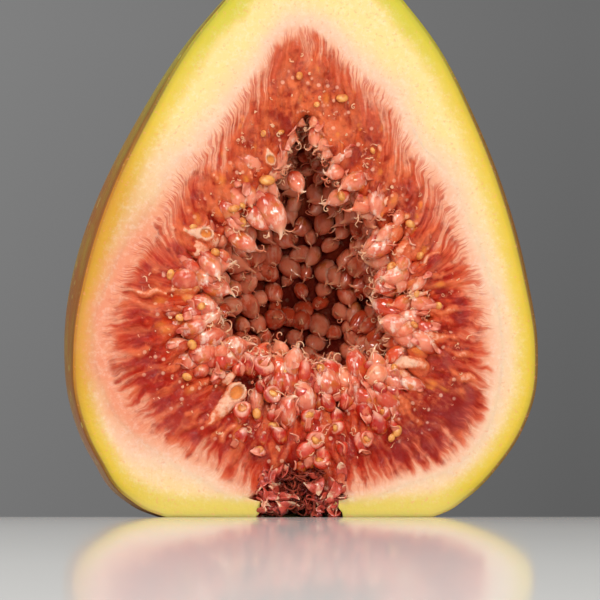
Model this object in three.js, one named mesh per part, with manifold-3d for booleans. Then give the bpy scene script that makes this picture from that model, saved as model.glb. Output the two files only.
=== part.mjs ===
// Half of a fresh fig, cut lengthwise and standing on its flattened eye end.
//
// The fruit is a hollow pear-shaped wall, lined with a thick red pulp of tiny flowers. Each flower
// is a fleshy drupelet on a stalk, with a hard seed in it, and the drupelets point into the hollow.
// Small scales close the eye at the bottom. Units are millimetres, +Z is up, and the cut face
// looks along -Y. While the solids are made, the cut is the plane y = 0 and the eye's axis is near x = 0.
// The finished group is then moved, so that its origin is the middle of its footprint.

import * as THREE from "three";
import { mergeVertices } from "three/addons/utils/BufferGeometryUtils.js";
import Module from "manifold-3d";

const wasm = await Module();
wasm.setup();

// ---------------------------------------------------------------- driving dimensions

// Outer wall by height: [height, radius, sideways lean of the axis, depth of the axis behind the cut].
const WALL_LEVELS = [
  [0.0, 14.4, -0.75, 3.4],
  [0.6, 16.0, -0.85, 3.4],
  [1.8, 17.9, -0.95, 3.5],
  [6.0, 21.6, -0.5, 3.7],
  [12.0, 24.4, -0.1, 4.3],
  [17.6, 25.0, 0.0, 5.3],
  [25.0, 24.2, 0.0, 6.6],
  [33.4, 21.8, 0.2, 6.3],
  [42.0, 17.9, 0.55, 5.0],
  [50.3, 12.9, 0.85, 3.2],
  [55.0, 9.0, 0.95, 2.3],
  [58.6, 5.9, 1.1, 1.6],
  [61.4, 4.3, 1.3, 1.2],
  [64.4, 3.4, 1.7, 0.9],
  [68.5, 3.2, 2.3, 0.7],
];

// Pulp's outside by height: [height, radius, sideways lean].
const PULP_LEVELS = [
  [2.6, 5.4, -0.9],
  [4.6, 9.4, -0.6],
  [7.0, 14.2, -0.5],
  [11.0, 18.1, -0.4],
  [17.6, 20.1, -0.8],
  [22.0, 19.9, -0.7],
  [26.0, 18.8, -0.5],
  [30.3, 16.9, 0.0],
  [34.5, 14.6, 0.1],
  [38.7, 11.6, 0.2],
  [43.0, 8.9, 0.7],
  [47.2, 6.1, 0.8],
  [50.0, 4.0, 0.8],
  [51.6, 1.6, 0.8],
];

// Hollow's wall by height: [height, radius, sideways lean].
const HOLLOW_LEVELS = [
  [14.4, 4.6, -0.2],
  [15.4, 7.8, -0.2],
  [17.6, 10.7, -0.2],
  [21.8, 12.4, -0.2],
  [26.0, 11.6, -0.1],
  [30.3, 10.0, 0.0],
  [34.5, 7.9, 0.1],
  [38.7, 5.8, 0.2],
  [42.0, 3.6, 0.3],
  [43.6, 1.4, 0.3],
];

const RIBS = 17; // shallow ribs that run from the stalk to the eye
const RIB_DEPTH = 0.14;
const CLEARANCE = 0.3; // between the wall, the pulp and the eye's scales

const EYE_RADIUS = 5.6; // opening in the wall at the bottom
const EYE_LEAN = -0.85;
const EYE_DEPTH = 3.4; // of the eye's axis behind the cut
const COLLAR_WALL = 0.9;
const COLLAR_BOTTOM = 0.4;
const SCALE_ROWS = 2;
const SCALES_PER_ROW = 11;
const SCALE_LENGTH = 3.1;
const SCALE_WIDTH = 2.3;
const SCALE_THICKNESS = 0.6;

const DRUPELET_RADIUS = 1.45;
const DRUPELET_LENGTH = 3.1; // from its root in the wall to its tip
const DRUPELET_STEP = 3.3; // between neighbours on the hollow's wall
const NARROWS = 30; // height above which the hollow narrows and the drupelets are smaller
const CUT_FLORETS = 62; // that lie in the cut face, seen in the red band
const FLORET_LENGTH = 5.2;
const FLORET_PROUD = 0.45; // how far the cut florets stand out of the cut face
const SEED_RADIUS = 0.62;
const SEED_LENGTH = 0.85; // half the seed's long side
const SEEDS = 34;

const AROUND = 60; // sides of the wall
const AROUND_INSIDE = 36; // sides of the pulp and of the hollow
const BIG = 200; // a block larger than the fruit
const SEED_OF_CHANCE = 7;

const RIND_GREEN = 0xd6c24a;
const PULP_RED = 0xb5442b;
const SCALE_PINK = 0xa8564a;

const UP_Y = new THREE.Vector3(0, 1, 0); // the axis that turned shapes are made along

// ---------------------------------------------------------------- small helpers

/** Turns a table of rows that start with a height into a smooth function of height. */
function smoothTable(rows) {
  const width = rows[0].length - 1;
  const heights = rows.map((row) => row[0]);
  const values = rows.flatMap((row) => row.slice(1));
  const spline = new THREE.CubicInterpolant(heights, values, width);
  const low = heights[0];
  const high = heights[heights.length - 1];
  return (z) => Array.from(spline.evaluate(Math.min(Math.max(z, low), high)));
}

const wallAt = smoothTable(WALL_LEVELS);
const pulpAt = smoothTable(PULP_LEVELS);
const hollowAt = smoothTable(HOLLOW_LEVELS);
const axisDepth = (z) => wallAt(z)[2];

/** A number from low to high, from the seeded sequence. */
function draw(low, high) {
  return low + (high - low) * THREE.MathUtils.seededRandom();
}

/** Makes one solid of a closed three.js geometry. */
function solid(geometry) {
  const bare = geometry.clone();
  bare.deleteAttribute("normal");
  bare.deleteAttribute("uv");
  const merged = mergeVertices(bare, 1e-4);
  return new wasm.Manifold(
    new wasm.Mesh({
      numProp: 3,
      vertProperties: new Float32Array(merged.attributes.position.array),
      triVerts: new Uint32Array(merged.index.array),
    }),
  );
}

/** The three.js geometry of a solid, or of its largest body if cutting left scraps. */
function geometryOf(made) {
  const bodies = made.decompose().sort((a, b) => b.volume() - a.volume());
  const mesh = bodies[0].getMesh();
  const geometry = new THREE.BufferGeometry();
  geometry.setAttribute("position", new THREE.BufferAttribute(mesh.vertProperties, 3));
  geometry.setIndex(new THREE.BufferAttribute(mesh.triVerts, 1));
  geometry.computeVertexNormals();
  return geometry;
}

/** A closed skin over rings of points, with a flat fan over each end. */
function loft(rings) {
  const count = rings[0].length;
  const points = rings.flat();
  const middle = (ring) =>
    ring.reduce((sum, p) => sum.add(p), new THREE.Vector3()).divideScalar(count);
  points.push(middle(rings[0]), middle(rings[rings.length - 1]));
  const faces = [];
  for (let r = 0; r + 1 < rings.length; r++) {
    for (let i = 0; i < count; i++) {
      const a = r * count + i;
      const b = r * count + ((i + 1) % count);
      faces.push(a, b, b + count, a, b + count, a + count);
    }
  }
  const lastRing = (rings.length - 1) * count;
  for (let i = 0; i < count; i++) {
    const next = (i + 1) % count;
    faces.push(next, i, points.length - 2);
    faces.push(lastRing + i, lastRing + next, points.length - 1);
  }
  const geometry = new THREE.BufferGeometry().setFromPoints(points);
  geometry.setIndex(faces);
  return solid(geometry);
}

/** A block that fills everything in front of the plane y = front. */
function blockInFrontOf(front) {
  const block = new THREE.BoxGeometry(BIG, BIG, BIG);
  block.translate(0, front - BIG / 2, 0);
  return solid(block);
}

/** A closed shape of revolution along +Y, from rows of [radius, position along the axis]. */
function turned(rows, sides) {
  return new THREE.LatheGeometry(
    rows.map(([radius, along]) => new THREE.Vector2(radius, along)),
    sides,
  );
}

/** Turns a shape made along +Y to point along a direction, and puts its origin at a point. */
function placed(geometry, at, direction, size = 1) {
  const turn = new THREE.Quaternion().setFromUnitVectors(UP_Y, direction);
  const put = new THREE.Matrix4().compose(at, turn, new THREE.Vector3(size, size, size));
  return geometry.clone().applyMatrix4(put);
}

// ---------------------------------------------------------------- the wall with its neck and stalk

/** A ring of the fruit at one height: radius and lean come from a table, the axis from the wall. */
function ring(sides, z, radius, lean, ribDepth = 0) {
  const depth = axisDepth(z);
  return Array.from({ length: sides }, (_, i) => {
    const angle = (i / sides) * 2 * Math.PI;
    const r = radius + ribDepth * Math.cos(RIBS * angle);
    return new THREE.Vector3(lean + r * Math.cos(angle), depth + r * Math.sin(angle), z);
  });
}

/** The heights of a table's span, closer together near its two ends. */
function heights(rows, steps) {
  const low = rows[0][0];
  const high = rows[rows.length - 1][0];
  return Array.from({ length: steps + 1 }, (_, i) => {
    const even = i / steps;
    const eased = (1 - Math.cos(Math.PI * even)) / 2;
    return THREE.MathUtils.lerp(low, high, THREE.MathUtils.lerp(even, eased, 0.75));
  });
}

function wholeFruit() {
  const foot = WALL_LEVELS[0][0];
  const shoulder = WALL_LEVELS[2][0];
  return loft(
    heights(WALL_LEVELS, 30).map((z) => {
      const [radius, lean] = wallAt(z);
      const fade = THREE.MathUtils.smoothstep(z, foot, shoulder) * Math.min(1, radius / 20);
      return ring(AROUND, z, radius, lean, RIB_DEPTH * fade);
    }),
  );
}

function roundForm(rows, at, steps, grow) {
  return loft(
    heights(rows, steps).map((z) => {
      const [radius, lean] = at(z);
      return ring(AROUND_INSIDE, z, radius + grow, lean);
    }),
  );
}

function eyeHole() {
  const hole = new THREE.CylinderGeometry(EYE_RADIUS, EYE_RADIUS, 8, AROUND);
  hole.rotateX(Math.PI / 2);
  hole.translate(EYE_LEAN, EYE_DEPTH, 0);
  return solid(hole);
}

function makeRind(front) {
  return wholeFruit()
    .subtract(roundForm(PULP_LEVELS, pulpAt, 16, CLEARANCE))
    .subtract(eyeHole())
    .subtract(front);
}

// ---------------------------------------------------------------- the pulp with its flowers

/** A drupelet of unit size along +Y: a stalk sunk in the pulp, a round belly and a drawn-out tip. */
function drupelet(sides) {
  const r = DRUPELET_RADIUS;
  const l = DRUPELET_LENGTH;
  return turned(
    [
      [0, -1.0],
      [0.98 * r, 0.3 * l],
      [0.8 * r, 0.66 * l],
      [0, 1.2 * l],
    ],
    sides,
  );
}

/** Places over the hollow's floor and wall, a step apart, with the direction into the hollow. */
function hollowPlaces() {
  const [floor, floorRadius] = HOLLOW_LEVELS[0];
  const profile = new THREE.SplineCurve([
    new THREE.Vector2(0, floor),
    new THREE.Vector2(floorRadius * 0.6, floor),
    ...HOLLOW_LEVELS.map(([z, radius]) => new THREE.Vector2(radius, z)),
  ]);
  const rows = Math.round(profile.getLength() / (DRUPELET_STEP * 0.87));
  const places = [];
  for (let row = 0; row < rows; row++) {
    const u = (row + 0.3) / rows;
    const { x: radius, y: z } = profile.getPointAt(u);
    const tangent = profile.getTangentAt(u);
    const lean = hollowAt(z)[1];
    const count = Math.max(3, Math.round((2 * Math.PI * radius) / DRUPELET_STEP));
    for (let i = 0; i < count; i++) {
      const angle = ((i + (row % 2) / 2 + draw(-0.12, 0.12)) / count) * 2 * Math.PI;
      const across = new THREE.Vector3(Math.cos(angle), Math.sin(angle), 0);
      const inward = across.clone().multiplyScalar(-tangent.y);
      inward.z = tangent.x;
      const at = new THREE.Vector3(lean, axisDepth(z), z).addScaledVector(across, radius);
      if (at.y > 0.2) places.push({ at, inward, radius });
    }
  }
  return places;
}

function addDrupelets(pulp) {
  const shape = drupelet(5);
  for (const { at, inward, radius } of hollowPlaces()) {
    const direction = inward
      .clone()
      .add(new THREE.Vector3(draw(-0.22, 0.22), draw(-0.22, 0.22), draw(-0.3, 0.12)))
      .normalize();
    const narrow = at.z > NARROWS ? THREE.MathUtils.clamp(radius / 8, 0.55, 1) : 1;
    const size = draw(0.86, 1.06) * narrow;
    pulp = pulp.add(solid(placed(shape, at, direction, size)));
  }
  return pulp;
}

/** Half the width of a round form where the cut passes it, or 0 where the cut misses it. */
function halfWidthAtCut(at, z) {
  const [radius] = at(z);
  const depth = axisDepth(z);
  return radius > depth ? Math.sqrt(radius * radius - depth * depth) : 0;
}

/** The closed outline of the pulp on the cut face, in even steps. */
function pulpOutlineOnCut(count) {
  const low = PULP_LEVELS[0][0];
  const high = PULP_LEVELS[PULP_LEVELS.length - 1][0];
  const side = (sign) =>
    Array.from({ length: 40 }, (_, i) => {
      const z = THREE.MathUtils.lerp(low, high, i / 39);
      return new THREE.Vector2(pulpAt(z)[1] + sign * halfWidthAtCut(pulpAt, z), z);
    });
  const path = new THREE.Path([...side(1), ...side(-1).reverse(), side(1)[0]]);
  return path.getSpacedPoints(count);
}

/** Whether a point of the cut face lies in the hollow. */
function inHollow(point) {
  const low = HOLLOW_LEVELS[0][0];
  const high = HOLLOW_LEVELS[HOLLOW_LEVELS.length - 1][0];
  if (point.y < low || point.y > high) return false;
  return Math.abs(point.x - hollowAt(point.y)[1]) < halfWidthAtCut(hollowAt, point.y);
}

/** The way a flower lies on the cut face: from a point of the pulp's outline to the hollow. */
function wayToHollow(from) {
  const aim = new THREE.Vector2(0, THREE.MathUtils.clamp(from.y * 0.7 + 5, 17, 38));
  let reach = 0.2;
  while (reach < 1 && !inHollow(from.clone().lerp(aim, reach))) reach += 0.05;
  return from.clone().lerp(aim, reach);
}

/** A cut floret along +Y: a thin stalk that widens into a fleshy bulb. */
function cutFloret(sides) {
  return turned(
    [
      [0, 0],
      [0.18, 0.3],
      [0.3, 0.78],
      [0, 1.04],
    ],
    sides,
  );
}

/** Florets that lie in the cut face and point to the hollow, in staggered rows. */
function addCutFlorets(pulp) {
  const shape = cutFloret(4);
  pulpOutlineOnCut(CUT_FLORETS).forEach((from, i) => {
    const to = wayToHollow(from);
    const start = [0.08, 0.5, 0.28][i % 3] + draw(0, 0.08);
    const root = from.clone().lerp(to, start);
    const along = new THREE.Vector3(to.x - root.x, draw(-0.1, 0.1), to.y - root.y);
    const length = Math.min(along.length(), FLORET_LENGTH);
    const turn = new THREE.Quaternion().setFromUnitVectors(UP_Y, along.normalize());
    const thick = draw(2.2, 3.0);
    const put = new THREE.Matrix4().compose(
      new THREE.Vector3(root.x, draw(0.1, 0.3), root.y),
      turn,
      new THREE.Vector3(thick, length, thick),
    );
    pulp = pulp.add(solid(shape.clone().applyMatrix4(put)));
  });
  return pulp;
}

/** Seeds laid bare by the cut. */
function addSeeds(pulp) {
  for (const from of pulpOutlineOnCut(SEEDS)) {
    const spot = from.clone().lerp(wayToHollow(from), draw(0.3, 0.95));
    const seed = new THREE.OctahedronGeometry(1, 0);
    seed.scale(SEED_RADIUS, SEED_RADIUS, SEED_LENGTH);
    seed.rotateY(draw(0, Math.PI));
    seed.translate(spot.x, draw(-0.05, 0.15), spot.y);
    pulp = pulp.add(solid(seed));
  }
  return pulp;
}

/** The start of the passage from the eye, open at the cut. */
function eyePassage() {
  const passage = new THREE.SphereGeometry(1, 12, 8);
  passage.scale(1.9, 4.2, 4.4);
  passage.translate(EYE_LEAN + 0.4, 1.6, 2.2);
  return solid(passage);
}

function makePulp(front) {
  const envelope = roundForm(PULP_LEVELS, pulpAt, 16, 0);
  const lining = envelope
    .subtract(roundForm(HOLLOW_LEVELS, hollowAt, 8, 0))
    .subtract(front);
  let pulp = addDrupelets(lining);
  pulp = addCutFlorets(pulp);
  pulp = addSeeds(pulp);
  return pulp.subtract(eyePassage()).intersect(envelope).subtract(blockInFrontOf(-FLORET_PROUD));
}

// ---------------------------------------------------------------- the eye's scales

/** An upright drum round the eye's axis, from the foot of the scales to their top. */
function drum(radius, low, high) {
  const form = new THREE.CylinderGeometry(radius, radius, high - low, 28);
  form.rotateX(Math.PI / 2);
  form.translate(0, 0, (low + high) / 2);
  return solid(form);
}

/** One scale, flat in XY, with its root at the origin and its point along +X. */
function scaleBlade() {
  const half = SCALE_WIDTH / 2;
  const outline = new THREE.Shape();
  outline.moveTo(0, -0.55 * half);
  outline.quadraticCurveTo(0.45 * SCALE_LENGTH, -1.3 * half, SCALE_LENGTH, 0);
  outline.quadraticCurveTo(0.45 * SCALE_LENGTH, 1.3 * half, 0, 0.55 * half);
  outline.closePath();
  const blade = new THREE.ExtrudeGeometry(outline, {
    depth: SCALE_THICKNESS,
    bevelEnabled: false,
    curveSegments: 4,
  });
  blade.translate(0, 0, -SCALE_THICKNESS / 2);
  return blade;
}

function makeEyeScales(front) {
  const outside = EYE_RADIUS - CLEARANCE;
  const top = PULP_LEVELS[0][0] - CLEARANCE;
  const bore = drum(outside - COLLAR_WALL, COLLAR_BOTTOM - 1, top + 1);
  let scales = drum(outside, COLLAR_BOTTOM, top).subtract(bore);
  const blade = scaleBlade();
  for (let row = 0; row < SCALE_ROWS; row++) {
    const lift = row === 0 ? COLLAR_BOTTOM + 0.5 : COLLAR_BOTTOM + 1.2;
    for (let i = 0; i < SCALES_PER_ROW; i++) {
      const angle = ((i + row / 2 + draw(-0.1, 0.1)) / SCALES_PER_ROW) * 2 * Math.PI;
      const one = blade.clone();
      one.rotateX(draw(-0.35, 0.35));
      one.rotateY(draw(-0.12, 0.08));
      one.translate(-(outside - COLLAR_WALL / 2), 0, lift);
      one.rotateZ(angle + draw(-0.06, 0.06));
      scales = scales.add(solid(one));
    }
  }
  return scales
    .intersect(drum(outside, COLLAR_BOTTOM, top))
    .translate([EYE_LEAN, EYE_DEPTH, 0])
    .subtract(front);
}

// ---------------------------------------------------------------- the assembled half

function mesh(name, made, color, roughness) {
  const material = new THREE.MeshStandardMaterial({ color, roughness, metalness: 0 });
  const part = new THREE.Mesh(geometryOf(made), material);
  part.name = name;
  return part;
}

THREE.MathUtils.seededRandom(SEED_OF_CHANCE);
const front = blockInFrontOf(0);
const half = new THREE.Group();
half.add(
  mesh("rind_with_stalk", makeRind(front), RIND_GREEN, 0.5),
  mesh("pulp_with_drupelets", makePulp(front), PULP_RED, 0.3),
  mesh("eye_scales", makeEyeScales(front), SCALE_PINK, 0.5),
);

const extent = new THREE.Box3().setFromObject(half);
const footprint = extent.getCenter(new THREE.Vector3());
half.position.set(-footprint.x, -footprint.y, 0);

export default half;
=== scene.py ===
"""Half of a fresh fig, cut lengthwise and standing on its eye end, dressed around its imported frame.

The shapes are worked out in fig space: millimetres, with the cut at y = 0, the flesh behind it
(y > 0), z up from the table and x = 0 near the eye's axis. Each finished mesh is then put in the
frame, in metres.
"""

import logging
import math
import random
from dataclasses import dataclass, field
from enum import Enum
from functools import reduce
from typing import Callable, Optional, Sequence, Union

import bmesh
import bpy
import numpy as np
from mathutils import Matrix, Vector, noise


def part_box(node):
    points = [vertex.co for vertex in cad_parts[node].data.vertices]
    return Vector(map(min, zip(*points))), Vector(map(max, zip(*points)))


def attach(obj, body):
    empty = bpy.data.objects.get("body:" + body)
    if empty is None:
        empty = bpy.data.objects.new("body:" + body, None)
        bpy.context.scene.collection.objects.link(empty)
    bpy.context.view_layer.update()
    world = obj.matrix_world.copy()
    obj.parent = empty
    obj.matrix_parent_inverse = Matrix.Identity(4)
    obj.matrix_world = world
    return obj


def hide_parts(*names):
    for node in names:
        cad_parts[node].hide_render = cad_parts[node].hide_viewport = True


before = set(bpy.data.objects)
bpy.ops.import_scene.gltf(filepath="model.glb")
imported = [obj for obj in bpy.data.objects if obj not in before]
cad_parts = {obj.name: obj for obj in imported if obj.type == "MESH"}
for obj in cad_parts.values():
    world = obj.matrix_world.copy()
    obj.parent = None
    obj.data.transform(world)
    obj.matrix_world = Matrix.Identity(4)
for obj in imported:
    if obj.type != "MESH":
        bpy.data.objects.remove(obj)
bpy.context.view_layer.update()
log = logging.getLogger("fig")

MM = 0.001
BODY = "root"
RIND_NODE = "rind_with_stalk"
PULP_NODE = "pulp_with_drupelets"
SCALES_NODE = "eye_scales"
AXIS_SHIFT = -0.129  # of fig space's x = 0 from the middle of the frame, in mm
CUT_PLANE = 15.65  # mm from the frame's middle forward to the cut
PROUD = 1.25  # how far anything may stand in front of the cut, in mm
EYE_AXIS = (-0.85, 3.4)  # x and y of the eye's middle, in mm
CHANCE = 11  # the seed of every random draw, with a small number added for each class
TURN = 2 * math.pi

Array = np.ndarray
Mesh = bpy.types.Mesh
Material = bpy.types.Material
Thing = bpy.types.Object
Pair = tuple[float, float]
Triple = tuple[float, float, float]
Color = Triple  # linear red, green and blue
Socket = bpy.types.NodeSocket
Value = Union[float, Socket]
Tint = Union[Color, Socket]


def srgb(red: int, green: int, blue: int) -> Color:
    """A linear colour from the three display values, each from 0 to 255."""
    return tuple(
        c / 12.92 if c <= 0.04045 else ((c + 0.055) / 1.055) ** 2.4
        for c in (red / 255, green / 255, blue / 255)
    )


def seeded(number: int) -> random.Random:
    """A dataclass field that holds a source of chance of its own."""
    return field(default_factory=lambda: random.Random(CHANCE + number))


def held(share: Array) -> Array:
    """Shares that are held between 0 and 1."""
    return np.clip(share, 0, 1)


def eased(share: Array) -> Array:
    """Shares that are held between 0 and 1, and start and end gently."""
    kept = held(share)
    return kept * kept * (3 - 2 * kept)


def summed(steps: Array) -> Array:
    """Running sums of some steps, which start at 0."""
    return np.concatenate([[0], np.cumsum(steps)])


def polar(angle: Array, reach: Array) -> Array:
    """Points of a plane at some angles and distances from its origin."""
    return np.column_stack([reach * np.cos(angle), reach * np.sin(angle)])


def on_cut(flat: Array, y: Union[float, Array] = 0.0) -> Array:
    """Points of fig space over points [x, z] of the cut plane, at a distance behind it."""
    return np.column_stack([flat[:, 0], np.broadcast_to(y, len(flat)), flat[:, 1]])


# ------------------------------ shape of the fruit


@dataclass(frozen=True)
class SmoothTable:
    """A smooth function of height through the rows of a table.

    Args:
        rows: rows of [height, value, value, ...], with rising heights.
    """

    rows: Sequence[Sequence[float]]

    def at(self, height: Array) -> Array:
        """The table's values at some heights.

        Args:
            height: heights in mm.

        Returns:
            One row of values for each height.
        """
        table = np.array(self.rows, float)
        x, y = table[:, 0], table[:, 1:]
        slope = np.gradient(y, x, axis=0)
        z = np.clip(np.atleast_1d(height), x[0], x[-1])
        i = np.clip(np.searchsorted(x, z, side="right") - 1, 0, len(x) - 2)
        step = (x[i + 1] - x[i])[:, None]
        t = (z - x[i])[:, None] / step
        return (
            (2 * t**3 - 3 * t**2 + 1) * y[i]
            + (t**3 - 2 * t**2 + t) * step * slope[i]
            + (3 * t**2 - 2 * t**3) * y[i + 1]
            + (t**3 - t**2) * step * slope[i + 1]
        )


@dataclass(frozen=True)
class RoundOutline:
    """A closed outline on the cut plane, as a radius for each direction from the fruit's middle.

    Args:
        points: corners of [x, z] in mm that the outline runs smoothly through.
        middle: the point that the directions are taken from.
    """

    points: Sequence[Pair]
    middle: Pair = (0.0, 22.0)

    def radius(self, angle: Array) -> Array:
        """How far the outline lies from its middle.

        Args:
            angle: directions in radians.

        Returns:
            One distance for each direction.
        """
        away = np.array(self.points, float) - np.array(self.middle)
        angles = np.arctan2(away[:, 1], away[:, 0])
        order = np.argsort(angles)
        known, reach = angles[order], np.hypot(away[:, 0], away[:, 1])[order]
        known = np.concatenate([known - TURN, known, known + TURN])
        table = SmoothTable(np.column_stack([known, np.tile(reach, 3)]))
        return table.at((np.asarray(angle) + math.pi) % TURN - math.pi)[:, 0]

    def at(self, angle: Array, grow: float = 0.0) -> Array:
        """Points [x, z] of the outline at some angles, moved outwards by grow."""
        return np.array(self.middle) + polar(angle, self.radius(angle) + grow)


WALL_ROWS = (  # height, radius, lean of the middle in x, and depth of the middle behind the cut
    (0.0, 14.4, -0.75, 3.4), (0.6, 16.0, -0.85, 3.4), (1.8, 17.9, -0.95, 3.5),
    (6.0, 21.6, -0.5, 3.7), (12.0, 24.4, -0.1, 4.3), (17.6, 25.0, 0.0, 5.3),
    (25.0, 24.2, 0.0, 6.6), (33.4, 21.8, 0.2, 6.3), (42.0, 17.9, 0.55, 5.0),
    (50.3, 12.9, 0.85, 3.2), (55.0, 9.0, 0.95, 2.3), (58.6, 5.9, 1.1, 1.6),
    (61.4, 4.3, 1.3, 1.2), (64.4, 3.4, 1.7, 0.9), (68.5, 3.2, 2.3, 0.7),
)
PULP_POINTS = (  # x and z where the wall's flesh meets the pulp, on the cut
    (-0.5, 50.2), (-2.8, 49.1), (-4.9, 45.9), (-6.9, 42.9), (-9.6, 38.7), (-12.6, 35.4),
    (-14.6, 31.4), (-16.8, 28.2), (-19.0, 23.9), (-20.4, 19.7), (-19.9, 15.5), (-17.9, 11.3),
    (-14.0, 8.0), (-8.9, 5.0), (-5.4, 3.0), (-0.9, 2.7), (3.4, 3.0), (9.3, 5.2),
    (14.6, 7.0), (17.2, 10.2), (18.6, 15.5), (18.3, 21.0), (16.9, 26.1), (15.2, 30.3),
    (13.6, 34.5), (10.6, 38.0), (8.4, 42.9), (5.2, 45.8), (2.1, 49.1),
)
HOLLOW_POINTS = (  # x and z of the hollow's rim, on the cut
    (0.1, 42.2), (-1.6, 39.6), (-3.4, 36.6), (-5.4, 33.4), (-8.3, 29.8), (-10.6, 25.6),
    (-11.0, 21.6), (-9.4, 17.2), (-4.5, 15.2), (0.5, 14.2), (6.0, 14.4), (10.2, 17.4),
    (10.8, 22.0), (9.2, 26.4), (7.8, 30.4), (5.2, 34.8), (2.2, 38.8),
)


@dataclass(frozen=True)
class FigForm:
    """Outer form of the fruit and the two outlines that the cut lays open."""

    wall: SmoothTable = SmoothTable(WALL_ROWS)
    pulp: RoundOutline = RoundOutline(PULP_POINTS)
    hollow: RoundOutline = RoundOutline(HOLLOW_POINTS)
    ribs: int = 17
    rib_depth: float = 0.14
    stalk_top: float = 68.5
    hollow_depth: float = 18.4
    hollow_belly: float = 28.0  # degrees that the hollow widens through, behind the cut

    @property
    def middle(self) -> Array:
        """The point [x, z] of the cut that directions are taken from."""
        return np.array(self.pulp.middle)

    def cut_edges(self, z: Array) -> tuple[Array, Array]:
        """Where the cut meets the skin, at some heights.

        Args:
            z: heights in mm.

        Returns:
            The x of the left and of the right edge.
        """
        radius, lean, depth = self.wall.at(z).T
        half = np.sqrt(np.maximum(radius**2 - depth**2, 0))
        return lean - half, lean + half

    def skin(self, z: Array, turn: Array) -> Array:
        """Points of the skin.

        Args:
            z: heights in mm.
            turn: 0 at the right edge of the cut, 1 at the left edge, by way of the back.

        Returns:
            Points in fig space.
        """
        radius, lean, depth = self.wall.at(z).T
        start = -np.arcsin(held(depth / radius))
        angle = start + turn * (math.pi - 2 * start)
        fade = held(z / 4) * held(radius / 20) * np.sin(math.pi * turn)
        reach = radius + self.rib_depth * fade * np.cos(self.ribs * angle)
        y = depth + reach * np.sin(angle)
        return np.column_stack([lean + reach * np.cos(angle), np.maximum(y, 0), z])

    def bowl(self, rim: Array, back: Array, depth: float) -> Array:
        """Points of a rounded pit behind the cut.

        Args:
            rim: points [x, z] of the pit's rim on the cut.
            back: 0 at the rim and 1 at the deepest point.
            depth: how deep the pit is, in mm.

        Returns:
            Points in fig space.
        """
        belly = math.radians(self.hollow_belly)
        angle = -belly + back * (math.pi / 2 + belly)
        share = (np.cos(angle) / math.cos(belly))[:, None]
        y = depth * (np.sin(angle) + math.sin(belly)) / (1 + math.sin(belly))
        return on_cut(self.middle + (rim - self.middle) * share, y)


# ------------------------------ mesh helpers


def mesh_of(body: bmesh.types.BMesh, name: str) -> Mesh:
    """A named mesh of a body, which is used up."""
    mesh = bpy.data.meshes.new(name)
    body.to_mesh(mesh)
    body.free()
    return mesh


def corners_of(mesh: Mesh) -> Array:
    """The corners of a mesh as an array of points."""
    corners = np.empty(len(mesh.vertices) * 3, np.float32)
    mesh.vertices.foreach_get("co", corners)
    return corners.reshape(-1, 3).astype(float)


def move_corners(mesh: Mesh, corners: Array) -> None:
    """Gives the corners of a mesh new places."""
    mesh.vertices.foreach_set("co", corners.astype(np.float32).ravel())


def sheet(columns: int, rows: int, place: Callable[[Array, Array], Array]) -> Mesh:
    """A grid of faces whose corners are placed by a function.

    Args:
        columns: faces along the first direction.
        rows: faces along the second direction.
        place: gives the points for two arrays that run from 0 to 1.

    Returns:
        The placed mesh.
    """
    grid = bmesh.new()
    bmesh.ops.create_grid(grid, x_segments=columns, y_segments=rows, size=0.5)
    mesh = mesh_of(grid, "sheet")
    across = corners_of(mesh) + 0.5
    u = np.round(across[:, 0] * columns) / columns
    v = np.round(across[:, 1] * rows) / rows
    move_corners(mesh, place(u, v))
    return mesh


def joined(meshes: Sequence[Mesh], merge: float = 1e-3) -> Mesh:
    """One mesh of several, with touching corners merged and the faces turned outwards.

    Args:
        meshes: the meshes, which are used up.
        merge: how close corners are merged, in mm.

    Returns:
        The joined mesh.
    """
    body = bmesh.new()
    for mesh in meshes:
        body.from_mesh(mesh)
        bpy.data.meshes.remove(mesh)
    bmesh.ops.remove_doubles(body, verts=body.verts, dist=merge)
    bmesh.ops.dissolve_degenerate(body, edges=body.edges, dist=merge / 10)
    bmesh.ops.recalc_face_normals(body, faces=body.faces)
    return mesh_of(body, "joined")


def paint(mesh: Mesh, **masks: Array) -> None:
    """Stores named numbers for each corner of a mesh, for its material to read."""
    for name, values in masks.items():
        data = mesh.attributes.new(name, "FLOAT", "POINT").data
        data.foreach_set("value", np.asarray(values, np.float32))


def shown(name: str, data: bpy.types.ID) -> Thing:
    """An object of a mesh, curve, light or camera, placed in the scene."""
    thing = bpy.data.objects.new(name, data)
    bpy.context.scene.collection.objects.link(thing)
    return thing


def evaluated(thing: Thing) -> Mesh:
    """The mesh that an object's modifiers or its curve make."""
    bpy.context.view_layer.update()
    depsgraph = bpy.context.evaluated_depsgraph_get()
    return bpy.data.meshes.new_from_object(thing.evaluated_get(depsgraph))


def finish_piece(
    name: str,
    mesh: Mesh,
    materials: Sequence[Material],
    replaces: Optional[str] = None,
) -> Thing:
    """Puts a mesh of fig space in the frame as a finished piece.

    Args:
        name: the piece's name.
        mesh: the mesh, in fig space.
        materials: its finishes, in the order of its material indices.
        replaces: the frame's node that the piece stands for.

    Returns:
        The piece.
    """
    corners = corners_of(mesh)
    proud = np.maximum(-PROUD / 2 - corners[:, 1], 0) / (PROUD / 2)
    corners[:, 1] = np.where(proud > 0, -PROUD / 2 * (1 + np.tanh(proud)), corners[:, 1])
    corners[:, 2] = np.maximum(corners[:, 2], 0)
    move_corners(mesh, corners)
    low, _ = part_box(RIND_NODE)
    into_frame = Matrix.Translation((AXIS_SHIFT * MM, low.y, 0)) @ Matrix.Scale(MM, 4)
    mesh.transform(into_frame)
    mesh.name = name
    for material in materials:
        mesh.materials.append(material)
    mesh.shade_smooth()
    piece = shown(name, mesh)
    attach(piece, BODY)
    if replaces:
        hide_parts(replaces)
    log.info("%s: %d faces", name, len(mesh.polygons))
    return piece


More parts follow.
